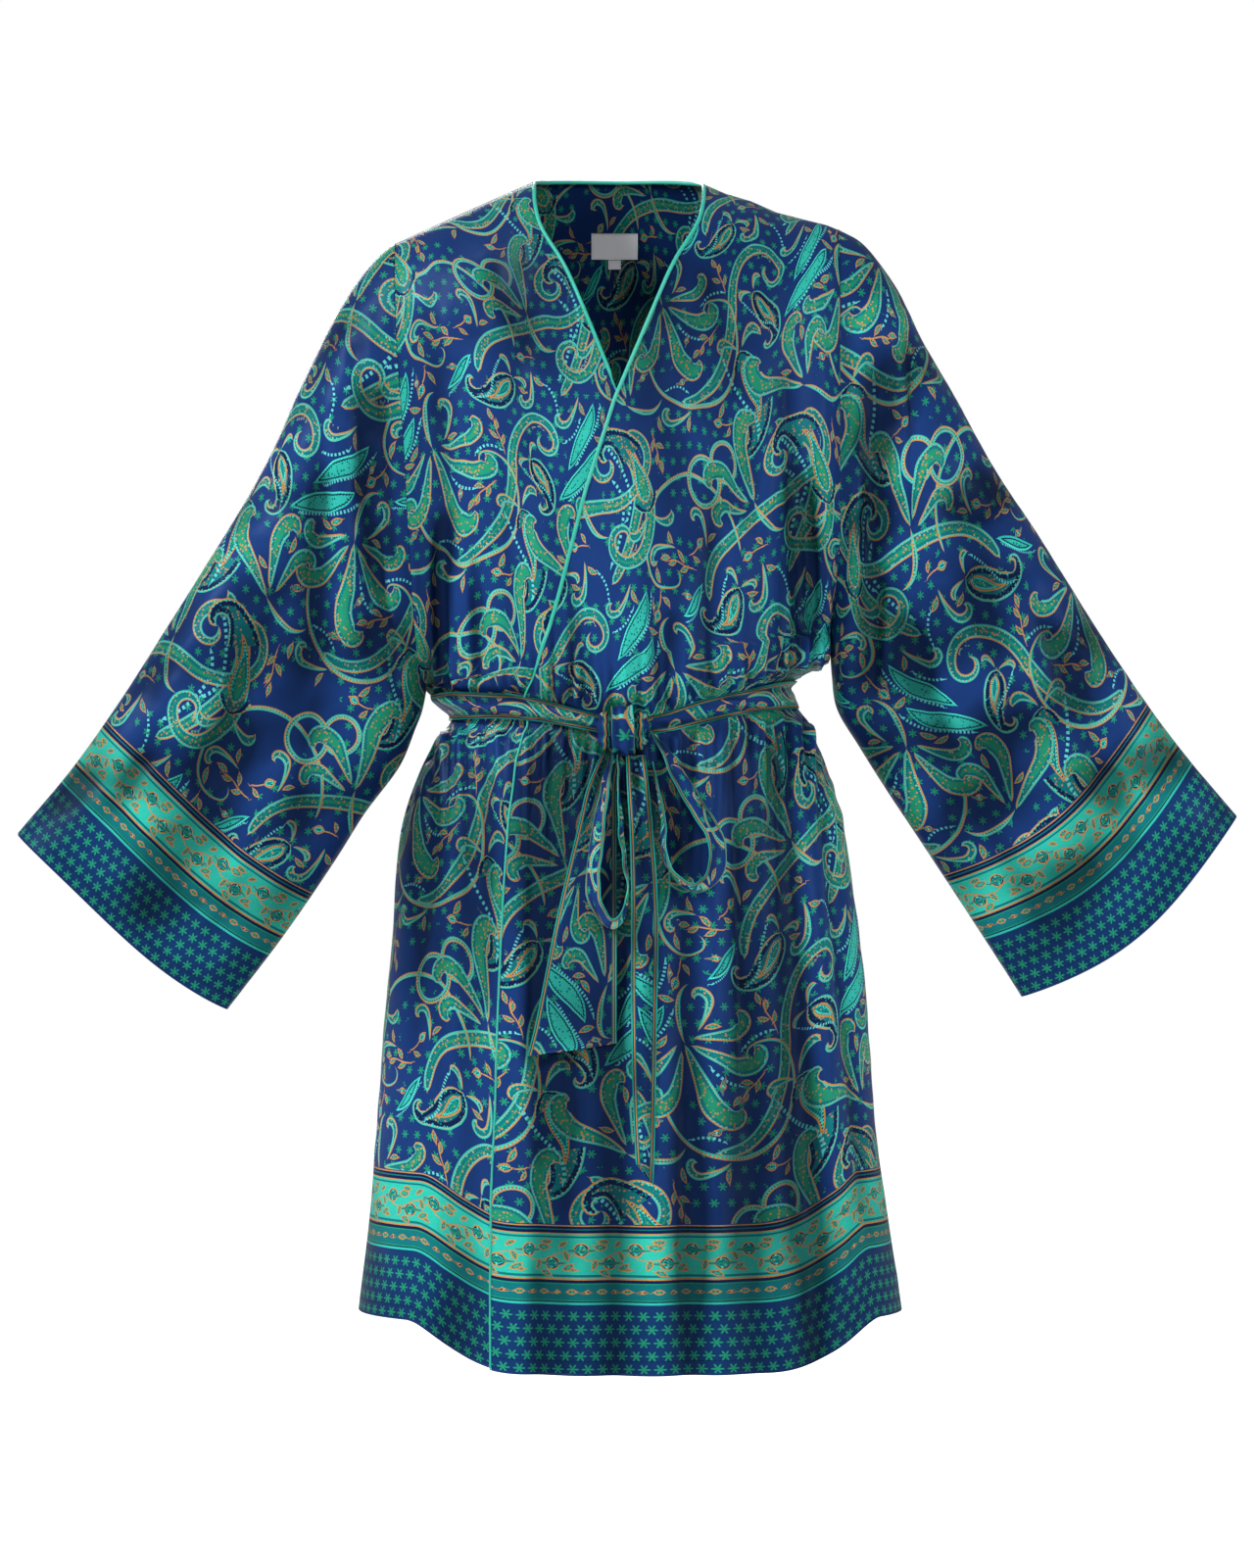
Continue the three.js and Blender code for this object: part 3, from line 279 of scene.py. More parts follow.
# The body's rows run from the shoulders to the hem: the first fan out from the shoulder seams to the chest,
# the next end at the armholes' feet, then come the waist's, down to the hips, and the skirt's.
FAN_ROWS = 5
ARM_SHARES = [0.25, 0.35, 0.46, 0.57, 0.68, 0.79, 0.88, 0.95, 1]
WAIST_SHARES = [0, 0.16, 0.31, 0.41, 0.5, 0.6, 0.72, 0.86, 1]
ARM_ROWS = FAN_ROWS + 8
HIP_ROW = ARM_ROWS + 8
LAST_ROW = HIP_ROW + 10
SASH = {"z": -397, "tilt": 6, "dip": 21, "dip_at": 8, "dip_width": 65, "height": 20, "wall": 2.4}
SASH_LIFT_FRONT = 5
SASH_LIFT_BACK = 1.3
SASH_PULL = 70  # height over which the sash's dip draws the body's waist down with it
SASH_GRIP = 17  # height over which the sash holds the folds flat


def arm_share(row):
    """How far down the armhole a row lies, 0 at the shoulder tip and 1 from the underarm down."""
    lower = np.interp(row, np.arange(FAN_ROWS, ARM_ROWS + 1), ARM_SHARES)
    return np.where(row < FAN_ROWS, CHEST_SHARE * (row / FAN_ROWS) ** 2, lower)


def seam_height(side, row):
    """Height of a side's armhole, and of its side seam below that."""
    facts = SIDES[side]
    arm = facts["tip_z"] + (facts["underarm_z"] - facts["tip_z"]) * arm_share(row)
    waist = np.interp(row, np.arange(ARM_ROWS, HIP_ROW + 1), WAIST_SHARES)
    waist = facts["underarm_z"] + (HIP_Z - facts["underarm_z"]) * waist
    skirt = HIP_Z + (HEM_SIDE_Z - HIP_Z) * (row - HIP_ROW) / (LAST_ROW - HIP_ROW)
    return np.where(row <= ARM_ROWS, arm, np.where(row <= HIP_ROW, waist, skirt))


def sash_height(x, front):
    """Height of the sash's middle line over x."""
    dip = SASH["dip"] * np.exp(-(((x - SASH["dip_at"]) / SASH["dip_width"]) ** 2))
    return SASH["z"] + SASH["tilt"] * x / SIDES["left"]["tip_x"] - dip * front


def armhole_opening(row):
    foot = np.clip((arm_share(row) - FOOT_SHARE) / (1 - FOOT_SHARE), 0, 1)
    return np.sqrt(1 - foot * foot)


def side_angle(row):
    return math.pi / 2 + (ARMHOLE_ANGLE - math.pi / 2) * armhole_opening(row)


def body_width(across, z):
    return np.where(across < 0, curve(BODY, "z", "right", z), curve(BODY, "z", "left", z))


def top_edge(x, front):
    """The shoulder seams and back neck over x: depth, height, and how quickly the cloth turns there."""
    y = np.full_like(x, HALF_GAP)
    z = straight(SHOULDER, "x", "z", x)
    turn = np.full_like(x, 0.5)
    if front:
        return y, z, turn
    from_centre = np.clip(np.abs(x - NECK["centre"]) / NECK["half"], 0, 1)
    rounded = 1 - from_centre ** 2
    z = z + (NECK["rise"] - z) * (1 - from_centre ** NECK["square"])
    return y + NECK["depth"] * np.sqrt(rounded), z, turn + 0.35 * rounded


def body_folds(x, z, front):
    return fold_depth(FRONT_FOLDS if front else BACK_FOLDS, x, z)


def row_height(across, row):
    """Height of a row across the body, from its height at one side to that at the other."""
    right, left = seam_height("right", row), seam_height("left", row)
    return right + (left - right) * (1 + np.sin(across * np.pi / 2)) / 2


def hem_stretch(across, angle, front):
    """How much longer the skirt is between the side seams than along them."""
    right, left = SIDES["right"], SIDES["left"]
    low, high = (np.where(across < 0, right[end], left[end]) for end in ("hem_from", "hem_to"))
    drop = HEM_DROP["front" if front else "back"] * smooth(np.cos(angle), low, high)
    return (HEM_SIDE_Z - drop - HIP_Z) / (HEM_SIDE_Z - HIP_Z)


def body_point(across, row, front):
    """Points of the body surface. across runs from -1 at the right seam to 1 at the left one."""
    across, row = np.broadcast_arrays(np.asarray(across, float), np.asarray(row, float))
    seam_angle = side_angle(row)
    angle = across * seam_angle
    reach = np.sin(angle) / np.sin(seam_angle)
    z = row_height(across, row)
    z = np.where(row > HIP_ROW, HIP_Z + (z - HIP_Z) * hem_stretch(across, angle, front), z)
    x = reach * body_width(across, z)
    upper_y, upper_z, turn = top_edge(x, front)
    fan = np.clip(arm_share(row) / CHEST_SHARE, 0, 1)
    chest_z = row_height(across, np.array(FAN_ROWS))
    z = np.where(row < FAN_ROWS, upper_z + (chest_z - upper_z) * fan, z)
    fall = SASH["z"] - sash_height(x, front)
    level = z + fall * np.exp(-(((z - SASH["z"]) / SASH_PULL) ** 2))
    depth = curve(BODY, "z", "front" if front else "back", level)
    x = reach * np.where(row > ARM_ROWS, body_width(across, level), body_width(across, z))
    seam_y = HALF_GAP + ARMHOLE_HALF_DEPTH * armhole_opening(row)
    bow = (np.cos(angle) - np.cos(seam_angle)) / (1 - np.cos(seam_angle))
    y = seam_y + (depth - seam_y) * bow
    fade = 1 - np.exp(-(((z - sash_height(x, front)) / SASH_GRIP) ** 4))
    y = y - body_folds(x, z, front) * fade * smooth(bow, 0, 0.35)
    y = upper_y + (y - upper_y) * (1 - (1 - fan) ** 2) ** turn
    return np.stack([x, -y if front else y, z], -1)


def edge_across(edge, rows):
    """Where a front's own edge crosses each row, as a share of the way to the side seam."""
    across = np.zeros_like(rows)
    for _ in range(12):
        point = body_point(across, rows, True)
        x = straight(edge, "z", "x", point[:, 2])
        x = x + np.sign(x) * NECK["ease"] * np.exp(-((point[:, 2] + 30) / 22) ** 2)
        end = np.where(x < 0, -1.0, 1.0)
        width = np.abs(body_point(end, rows, True)[:, 0])
        across = np.arcsin(np.clip(x / width * np.sin(side_angle(rows)), -1, 1)) / side_angle(rows)
    return across


def grid_normals(grid, closed=False):
    """Unit normals of a grid of points: the way down its rows crossed with the way along its columns."""
    along = np.gradient(grid, axis=0)
    if closed:
        over = np.roll(grid, -1, 1) - np.roll(grid, 1, 1)
    else:
        over = np.gradient(grid, axis=1)
    normal = np.cross(along, over)
    return normal / np.maximum(np.linalg.norm(normal, axis=-1, keepdims=True), 1e-9)


def way_along(grid, axis):
    """Length along each row or column of a grid, from its start."""
    steps = np.linalg.norm(np.diff(grid, axis=axis), axis=-1)
    start = np.zeros_like(np.take(steps, [0], axis=axis))
    return np.concatenate([start, np.cumsum(steps, axis=axis)], axis=axis)


# ---------- the print: strokes along curved lines, in millimetres of flat cloth ----------

LAYERS = 6
CLEAR = 3.6  # least gap between two strokes of one layer
NEAR = 4.0  # how far from a stroke's edge the middle of a face that shows it may lie
VINE, DROP, PEBBLE, FROND, SMALL, DOTS, GOLD, HEART = range(8)
# A stroke's kind and half width are stored as one number: a step for each kind, a base and the half width.
KIND_STEP = 32
HALF_BASE = 16

# Half width along a stroke, as a share of its greatest, by share of its length.
PROFILES = {
    "vine": [(0, 0), (0.015, 0.5), (0.05, 0.72), (0.4, 1), (0.8, 0.72), (0.97, 0.35), (1, 0)],
    "ring": [(0, 1), (1, 1)],
    "leaf": [(0, 0), (0.06, 0.3), (0.2, 0.72), (0.42, 1), (0.62, 0.95), (0.82, 0.6), (0.94, 0.25), (1, 0)],
    "drop": [(0, 0), (0.015, 0.35), (0.06, 0.66), (0.14, 0.9), (0.25, 1), (0.4, 0.92), (0.55, 0.68),
             (0.7, 0.43), (0.85, 0.25), (0.96, 0.16), (1, 0)],
    "frond": [(0, 0), (0.05, 0.25), (0.3, 0.55), (0.6, 0.9), (0.76, 1), (0.9, 0.8), (0.97, 0.45), (1, 0)],
}

# A motif's strokes: kind, start x, y, heading in degrees, bends as (length, turn), half width, profile
# and pitch of its beads.
MOTIFS = {
    "drop": [
        (DROP, 0, 0, 90, [(34, 10), (26, 40), (18, 90), (12, 130)], 15.5, "drop", 2.4),
        (HEART, 0, 7, 90, [(26, 8), (16, 36)], 6.6, "drop", 2.2),
        (DOTS, -20, 2, 84, [(32, -20), (24, 60)], 1.3, "ring", 3.6),
        (FROND, 3, -2, -50, [(14, 30), (10, 110)], 3.4, "frond", 2.0),
        (FROND, -3, -2, -130, [(14, -30), (10, -110)], 3.4, "frond", 2.0),
    ],
    "scroll": [
        (VINE, 0, 0, 0, [(54, 24), (50, 70), (36, 110), (26, 150), (12, 110)], 5.6, "vine", 2.2),
        (DOTS, 10, 9, 8, [(36, 28), (22, 60)], 1.2, "ring", 3.8),
    ],
    "sweep": [
        (VINE, 0, 0, 0, [(40, -56), (60, -40), (46, 56), (34, 110), (24, 150), (10, 100)], 5.2, "vine", 2.2),
    ],
    "hoop": [(VINE, 0, 0, 90, [(84, 90), (88, 104), (36, 96), (14, 130)], 1.7, "vine", 2.6)],
    "rings": [
        (VINE, 18, 0, 90, [(113, 360)], 2.2, "ring", 2.4),
        (VINE, 42, 12, 90, [(92, 360)], 2.0, "ring", 2.4),
    ],
    "leaf": [
        (PEBBLE, 0, 0, 0, [(32, 34), (34, -8)], 7.6, "leaf", 2.6),
        (DOTS, 4, -8, 0, [(28, 34), (26, 2)], 1.2, "ring", 3.2),
    ],
    "plume": [
        (FROND, 8, -2, 16, [(22, 0), (14, -60), (10, -130)], 5.4, "frond", 2.1),
        (FROND, 5, 2, 48, [(28, -4), (18, -56), (12, -130)], 6.8, "frond", 2.1),
        (FROND, 0, 0, 82, [(36, 10), (20, -50), (14, -120)], 7.6, "frond", 2.1),
        (FROND, -4, 3, 118, [(26, 10), (16, 60), (12, 130)], 6.6, "frond", 2.1),
        (FROND, -7, -2, 150, [(20, 4), (12, 70), (10, 130)], 5.0, "frond", 2.1),
        (VINE, 0, -1, -96, [(26, 30), (16, 60)], 2.0, "leaf", 2.2),
    ],
    "curl": [
        (FROND, 0, 0, 0, [(24, 22), (15, 90), (10, 140)], 3.8, "frond", 2.0),
        (SMALL, 4, -3, -30, [(13, -40)], 2.6, "leaf", 3.0),
    ],
    "sprig": [
        (GOLD, 0, 0, 60, [(16, 20), (14, -30)], 0.6, "ring", 3),
        (SMALL, 2, 6, 20, [(12, 30)], 2.7, "leaf", 3.0),
        (SMALL, 3, 12, 130, [(12, -30)], 2.7, "leaf", 3.0),
        (SMALL, 7, 20, 30, [(11, 30)], 2.5, "leaf", 3.0),
        (SMALL, 9, 28, 75, [(12, -16)], 2.9, "leaf", 3.0),
    ],
    "bud": [
        (GOLD, 0, 0, 90, [(10, 30)], 0.6, "ring", 3),
        (HEART, -3, 11, 118, [(11, 0)], 4.2, "leaf", 2.0),
        (SMALL, 2, 2, 30, [(10, 40)], 2.4, "leaf", 3.0),
    ],
    "petal": [(SMALL, 0, 0, 0, [(13, 36)], 2.6, "leaf", 3.0)],
    "berry": [(HEART, 0, 0, 0, [(0.6, 0)], 2.6, "ring", 2)],
    "trail": [(DOTS, 0, 0, 0, [(24, 50)], 1.1, "ring", 3.8)],
}

FIELD_REPEAT = (206.0, 296.0)
# The large motifs of one repeat: x, y, turn in degrees, size, and -1 for a mirrored one.
LARGE = [
    ("scroll", 8, 26, 50, 1.2, 1),
    ("sweep", 122, 20, 96, 1.2, 1),
    ("hoop", 160, 60, 8, 1.1, 1),
    ("scroll", 200, 150, 152, 1.2, -1),
    ("sweep", 92, 168, 176, 1.15, -1),
    ("hoop", 48, 214, 188, 1.1, 1),
    ("rings", 118, 108, 14, 1.0, 1),
    ("drop", 52, 80, 18, 1.25, 1),
    ("drop", 164, 214, -152, 1.2, -1),
    ("plume", 176, 96, 20, 1.2, 1),
    ("plume", 70, 250, -160, 1.2, -1),
    ("plume", 24, 168, 70, 1.15, 1),
]
# The small ones, set where they fit best between the large: kind, how many, and their size.
FILLING = [("leaf", 2, 1.05), ("plume", 2, 0.95), ("drop", 3, 0.74), ("curl", 6, 0.95), ("leaf", 1, 0.62),
           ("sprig", 4, 0.9), ("bud", 4, 0.95), ("petal", 9, 0.95), ("trail", 5, 1.0), ("berry", 5, 1.0)]
FILL_TRIES = 160
FILL_SEED = 12
FILL_GAP = 1.2  # a place that leaves less than this between motifs counts as crowded
LEAST_GAP = 0.4  # a motif whose best place leaves less than this is left out

# The border's floral band and the narrow band beneath it, as motifs of one repeat: x is along the hem
# and y is the height above it.
TRIM_REPEAT = (41.0, 400.0)
TRIM_MOTIFS = {
    "stem": [(VINE, 0, 0, 34, [(11, -68), (20, 68), (11, -34)], 0.9, "ring", 2.6)],
    "rose": [(HEART, 0, 0, 0, [(0.5, 0)], 5.4, "ring", 2)],
    "leaflet": [(SMALL, 0, 0, 0, [(11, 30)], 3.0, "leaf", 3.0)],
    "lozenge": [(SMALL, 0, 0, 0, [(8, 0)], 2.3, "leaf", 3.0)],
    "seed": [(HEART, 0, 0, 0, [(0.4, 0)], 1.7, "ring", 2)],
}
TRIM_LAYOUT = [
    ("stem", 0, 90, 0, 0.976, 1), ("rose", 10, 95, 0, 1, 1), ("rose", 30.5, 85, 0, 1, 1),
    ("leaflet", 18, 98, -20, 1, 1), ("leaflet", 0, 101, 200, 0.7, 1), ("leaflet", 22, 79, 170, 0.9, -1),
    ("leaflet", 38, 80, 14, 0.9, 1), ("leaflet", 1, 86, 100, 0.8, 1), ("leaflet", 20, 88, 90, 0.8, -1),
    ("leaflet", 30, 101, 10, 0.8, -1), ("leaflet", 8, 79.5, 165, 0.6, 1),
    ("lozenge", 0.5, 63.4, 0, 1, 1), ("seed", 14.6, 63.4, 0, 1, 1),
    ("lozenge", 21, 63.4, 0, 1, 1), ("seed", 35.2, 63.4, 0, 1, 1),
]


def bent_line(x, y, heading, bends, step=1.6):
    """Points along a line that leaves x, y at a heading and turns evenly through each bend."""
    points = [(x, y)]
    turn = math.radians(heading)
    for length, degrees in bends:
        count = max(1, math.ceil(length / step))
        for _ in range(count):
            turn += math.radians(degrees) / count / 2
            x += math.cos(turn) * length / count
            y += math.sin(turn) * length / count
            turn += math.radians(degrees) / count / 2
            points.append((x, y))
    return np.array(points)


def motif_strokes(strokes, x, y, degrees, size, mirror):
    """A motif's strokes in place: each one's line, the way along it in beads, its half width, its kind and
    the side of it to call positive."""
    turn = math.radians(degrees)
    rotate = np.array([[math.cos(turn), math.sin(turn)], [-math.sin(turn), math.cos(turn)]])
    made = []
    for i, (kind, x0, y0, heading, bends, half, profile, pitch) in enumerate(strokes):
        line = bent_line(x0, y0, heading, bends) * (mirror, 1)
        line = line @ rotate * size + (x, y)
        way = way_along(line[None], 1)[0]
        shares, values = zip(*PROFILES[profile])
        width = np.interp(way / way[-1], shares, values) * half * size
        beads = max(1, round(way[-1] / (pitch * size)))
        side = 1 - 2 * (i % 2)
        made.append({"line": line, "way": way * beads / way[-1], "half": width, "kind": kind, "side": side})
    return made


def fill_between(placed, filling, repeat):
    """Adds the small motifs one by one, each in the snuggest of many random places that are clear."""
    random = np.random.default_rng(FILL_SEED)
    across, up = (np.arange(0, side, 1.0) + 0.5 for side in repeat)
    room = np.full((len(across), len(up)), 1e3)

    def take(strokes):
        for stroke in strokes:
            for (x, y), half in list(zip(stroke["line"], stroke["half"]))[::2] + [(stroke["line"][-1], 0)]:
                dx = np.abs((across - x + repeat[0] / 2) % repeat[0] - repeat[0] / 2)
                dy = np.abs((up - y + repeat[1] / 2) % repeat[1] - repeat[1] / 2)
                np.minimum(room, np.hypot(dx[:, None], dy[None]) - half, out=room)

    take([stroke for motif in placed for stroke in motif])
    for name, count, size in filling:
        for _ in range(count):
            best, best_score = None, 1e9
            for _ in range(FILL_TRIES):
                x, y = random.uniform(0, repeat[0]), random.uniform(0, repeat[1])
                turned, mirror = random.uniform(0, 360), random.choice([-1, 1])
                strokes = motif_strokes(MOTIFS[name], x, y, turned, size * random.uniform(0.9, 1.1), mirror)
                line = np.concatenate([stroke["line"] for stroke in strokes])
                half = np.concatenate([stroke["half"] for stroke in strokes])
                at = np.mod(line, repeat).astype(int)
                gaps = room[at[:, 0], at[:, 1]] - half
                score = gaps.mean() + 40 * max(0, FILL_GAP - gaps.min())
                if score < best_score:
                    best, best_score = (strokes, gaps.min()), score
            if best[1] > LEAST_GAP:
                placed.append(best[0])
                take(best[0])
    return placed


def stroke_gap(a, b, repeat):
    """Least gap between the edges of two strokes of a repeat."""
    apart = a["line"][::2, None] - b["line"][None, ::2]
    size = np.array(repeat)
    apart = np.abs((apart + size / 2) % size - size / 2)
    return (np.hypot(apart[..., 0], apart[..., 1]) - a["half"][::2, None] - b["half"][None, ::2]).min()


def layered(motifs, repeat):
    """Deals the strokes out to layers, later ones above the earlier ones that they cross."""
    done = []
    for number, motif in enumerate(motifs):
        for stroke in motif:
            near = [(other, stroke_gap(stroke, other, repeat)) for other in done
                    if other["motif"] != number or other["kind"] != stroke["kind"]]
            lowest = max([other["layer"] + 1 for other, gap in near if gap < -0.5], default=0)
            taken = {other["layer"] for other, gap in near if gap < CLEAR}
            free = [k for k in range(lowest, 40) if k not in taken]
            stroke["layer"] = free[0]
            stroke["motif"] = number
            done.append(stroke)
    return done


def nearest_on(stroke, points):
    """For points, the way along a stroke, the signed distance off its line and its half width there."""
    line, way, half = stroke["line"], stroke["way"], stroke["half"]
    j = np.argmin(((points[:, None] - line[None]) ** 2).sum(-1), axis=1)
    best = None
    for k in (np.clip(j - 1, 0, len(line) - 2), np.clip(j, 0, len(line) - 2)):
        start, run = line[k], line[k + 1] - line[k]
        share = np.clip(((points - start) * run).sum(1) / (run ** 2).sum(1), 0, 1)
        off = points - start - run * share[:, None]
        side = np.where(run[:, 0] * off[:, 1] - run[:, 1] * off[:, 0] < 0, -1.0, 1.0) * stroke["side"]
        distance = np.hypot(off[:, 0], off[:, 1]) * side
        here = [way[k] + (way[k + 1] - way[k]) * share, distance, half[k] + (half[k + 1] - half[k]) * share]
        if best is None:
            best = here
        else:
            closer = np.abs(here[1]) < np.abs(best[1])
            best = [np.where(closer, new, old) for new, old in zip(here, best)]
    return best


def print_fields(strokes, repeat, centres, corners, starts, sizes):
    """Three numbers for each layer at each corner of the faces, all from the stroke nearest to the face: way
    along it in beads, distance off its line, and its half width with its kind."""
    wrapped = np.mod(centres, repeat)
    moved = wrapped - centres
    fields = np.zeros((LAYERS, len(corners), 3), np.float32)
    closest = np.full((LAYERS, len(centres)), NEAR)
    owner = np.full((LAYERS, len(centres)), -1)
    places = [(stroke, np.array([dx, dy])) for stroke in strokes if stroke["layer"] < LAYERS
              for dx in (-repeat[0], 0, repeat[0]) for dy in (-repeat[1], 0, repeat[1])]
    for number, (stroke, shift) in enumerate(places):
        layer = stroke["layer"]
        reach = stroke["half"].max() + NEAR
        low, high = stroke["line"].min(0) - reach - shift, stroke["line"].max(0) + reach - shift
        at = np.nonzero(((wrapped > low) & (wrapped < high)).all(1))[0]
        for part in np.array_split(at, len(at) // 20000 + 1):
            if len(part) == 0:
                continue
            _, off, half = nearest_on(stroke, wrapped[part] + shift)
            outside = np.abs(off) - half
            nearer = outside < closest[layer, part]
            chosen = part[nearer]
            closest[layer, chosen] = outside[nearer]
            owner[layer, chosen] = number
    for layer in range(LAYERS):
        order = np.argsort(owner[layer], kind="stable")
        edges = np.searchsorted(owner[layer][order], np.arange(len(places) + 1))
        for number, (stroke, shift) in enumerate(places):
            faces = order[edges[number]:edges[number + 1]]
            if len(faces) == 0:
                continue
            loops = (starts[faces][:, None] + np.arange(4))[np.arange(4) < sizes[faces][:, None]]
            shifts = np.repeat(moved[faces] + shift, sizes[faces], axis=0)
            way, off, half = nearest_on(stroke, corners[loops] + shifts)
            fields[layer, loops] = np.stack([way, off, half + HALF_BASE + KIND_STEP * stroke["kind"]], 1)
    return fields


def place_all(layout, motifs):
    return [motif_strokes(motifs[name], *place) for name, *place in layout]


FIELD = layered(fill_between(place_all(LARGE, MOTIFS), FILLING, FIELD_REPEAT), FIELD_REPEAT)
TRIM = layered(place_all(TRIM_LAYOUT, TRIM_MOTIFS), TRIM_REPEAT)


# ---------- materials ----------

def srgb(red, green, blue, alpha=1.0):
    """An ordinary 0 to 255 colour as the linear one that shaders take."""
    linear = [((c / 255 + 0.055) / 1.055) ** 2.4 if c > 10 else c / 255 / 12.92 for c in (red, green, blue)]
    return (*linear, alpha)


NAVY = srgb(18, 44, 94)
DEEP = srgb(10, 22, 60)
TURQUOISE = srgb(42, 160, 146)
BRIGHT = srgb(62, 188, 168)
TEAL = srgb(12, 98, 102)
GREEN = srgb(28, 124, 94)
GOLD_INK = srgb(166, 120, 64)
AQUA = srgb(84, 176, 176)
NONE = (0, 0, 0, 0)
TRIM_NAVY = srgb(14, 44, 86)
TRIM_GROUND = srgb(40, 164, 146)
PIPING_COLOR = srgb(30, 172, 150)
LABEL_COLOR = srgb(228, 228, 234)
SATIN_GLOSS = srgb(150, 190, 255)

# Inks of each kind of stroke, inwards from its edge: depth, then two inks. The outline takes the first on
# one side and the second on the other, the line within it beads them, and the middle is freckled with the
# first.
OUTLINE = 0.9
BEADS_END = 1.9
INKS = {
    VINE: [(0, TURQUOISE, GOLD_INK), (0.9, BRIGHT, TEAL), (1.9, GOLD_INK, TEAL), (4.0, GOLD_INK, GREEN)],
    DROP: [(0, TURQUOISE, GOLD_INK), (0.9, BRIGHT, DEEP), (1.9, TEAL, DEEP), (5.0, GOLD_INK, TEAL)],
    PEBBLE: [(0, TURQUOISE, BRIGHT), (0.9, TEAL, DEEP), (1.9, TEAL, TURQUOISE)],
    FROND: [(0, TURQUOISE, GOLD_INK), (0.9, BRIGHT, TEAL), (1.9, GOLD_INK, TEAL), (3.4, GOLD_INK, GREEN)],
    SMALL: [(0, GOLD_INK, GOLD_INK), (0.6, TEAL, GREEN), (1.5, GREEN, TURQUOISE), (3, TURQUOISE, TURQUOISE)],
    DOTS: [(0, AQUA, NONE)],
    GOLD: [(0, GOLD_INK, GOLD_INK)],
    HEART: [(0, GOLD_INK, GOLD_INK), (0.9, DEEP, BRIGHT), (1.9, TURQUOISE, TEAL), (3.6, GOLD_INK, GREEN)],
}
INK_DEPTH = 16.0
FROND_SLANT = 0.28  # how far a frond's veins lean, in beads for each millimetre from its line
SCALLOP = 0.7  # how far the outline dips between two beads
FRECKLE_SCALE = 0.36
FRECKLE_SIZE = 0.32

# Bands of the border, up from the hem: where each starts, and its ground.
TRIM_BANDS = [
    (0, TRIM_NAVY), (53.5, TURQUOISE), (55, DEEP), (56.2, GREEN), (57.2, TEAL), (68.6, GREEN), (69.8, DEEP),
    (72, GOLD_INK), (73.2, TURQUOISE), (74.4, TEAL), (76, TRIM_GROUND), (103.6, TEAL), (105.2, TURQUOISE),
    (106.4, GOLD_INK), (107.6, DEEP), (109.6, TEAL), (110.8, DEEP), (112.4, GOLD_INK), (113.4, NAVY),
]
BORDER_TOP = 114.0
CLEAR_BAND = (110.8, 3.5)  # middle and half height of the band at the border's top that no stroke crosses
STRAP_LINES = [(0, TURQUOISE), (1.1, DEEP), (1.8, GOLD_INK), (2.7, TEAL)]
STRAP_LINES_WIDTH = 3.6

# Stars: the cell that each stands in and its size.
FIELD_STARS = (12.4, 3.5)
TRIM_STARS = (10.0, 4.1)
TRIM_STARS_FROM = 2.0
TRIM_STARS_TO = 50.5
STAR_PATCHES = 0.47  # the field is starred where its soft patches are above this
HEM_STITCHES = (11.0, 0.35)  # height of the hem's line of stitches, and half its width
# Painted shade and light: the fold value darkens the print in troughs and lightens it on ridges, between
# least and most.
FOLD_SHADOW = {"base": 0.94, "share": 0.16, "least": 0.3, "most": 1.3}
INSIDE_DIM = 0.9


class Value:
    """A number or colour that a material's nodes work out. Arithmetic with it adds further nodes."""

    def __init__(self, shader, socket):
        self.shader = shader
        self.socket = socket

    def do(self, operation, *others):
        """The outcome of a math node on this number and others."""
        return self.shader.put("ShaderNodeMath", dict(enumerate((self, *others))), operation=operation)

    def __add__(self, other):
        return self.do("ADD", other)

    def __sub__(self, other):
        return self.do("SUBTRACT", other)

    def __mul__(self, other):
        return self.do("MULTIPLY", other)

    def __truediv__(self, other):
        return self.do("DIVIDE", other)

    def __lt__(self, other):
        return self.do("LESS_THAN", other)

    def __gt__(self, other):
        return self.do("GREATER_THAN", other)

    def __abs__(self):
        return self.do("ABSOLUTE")


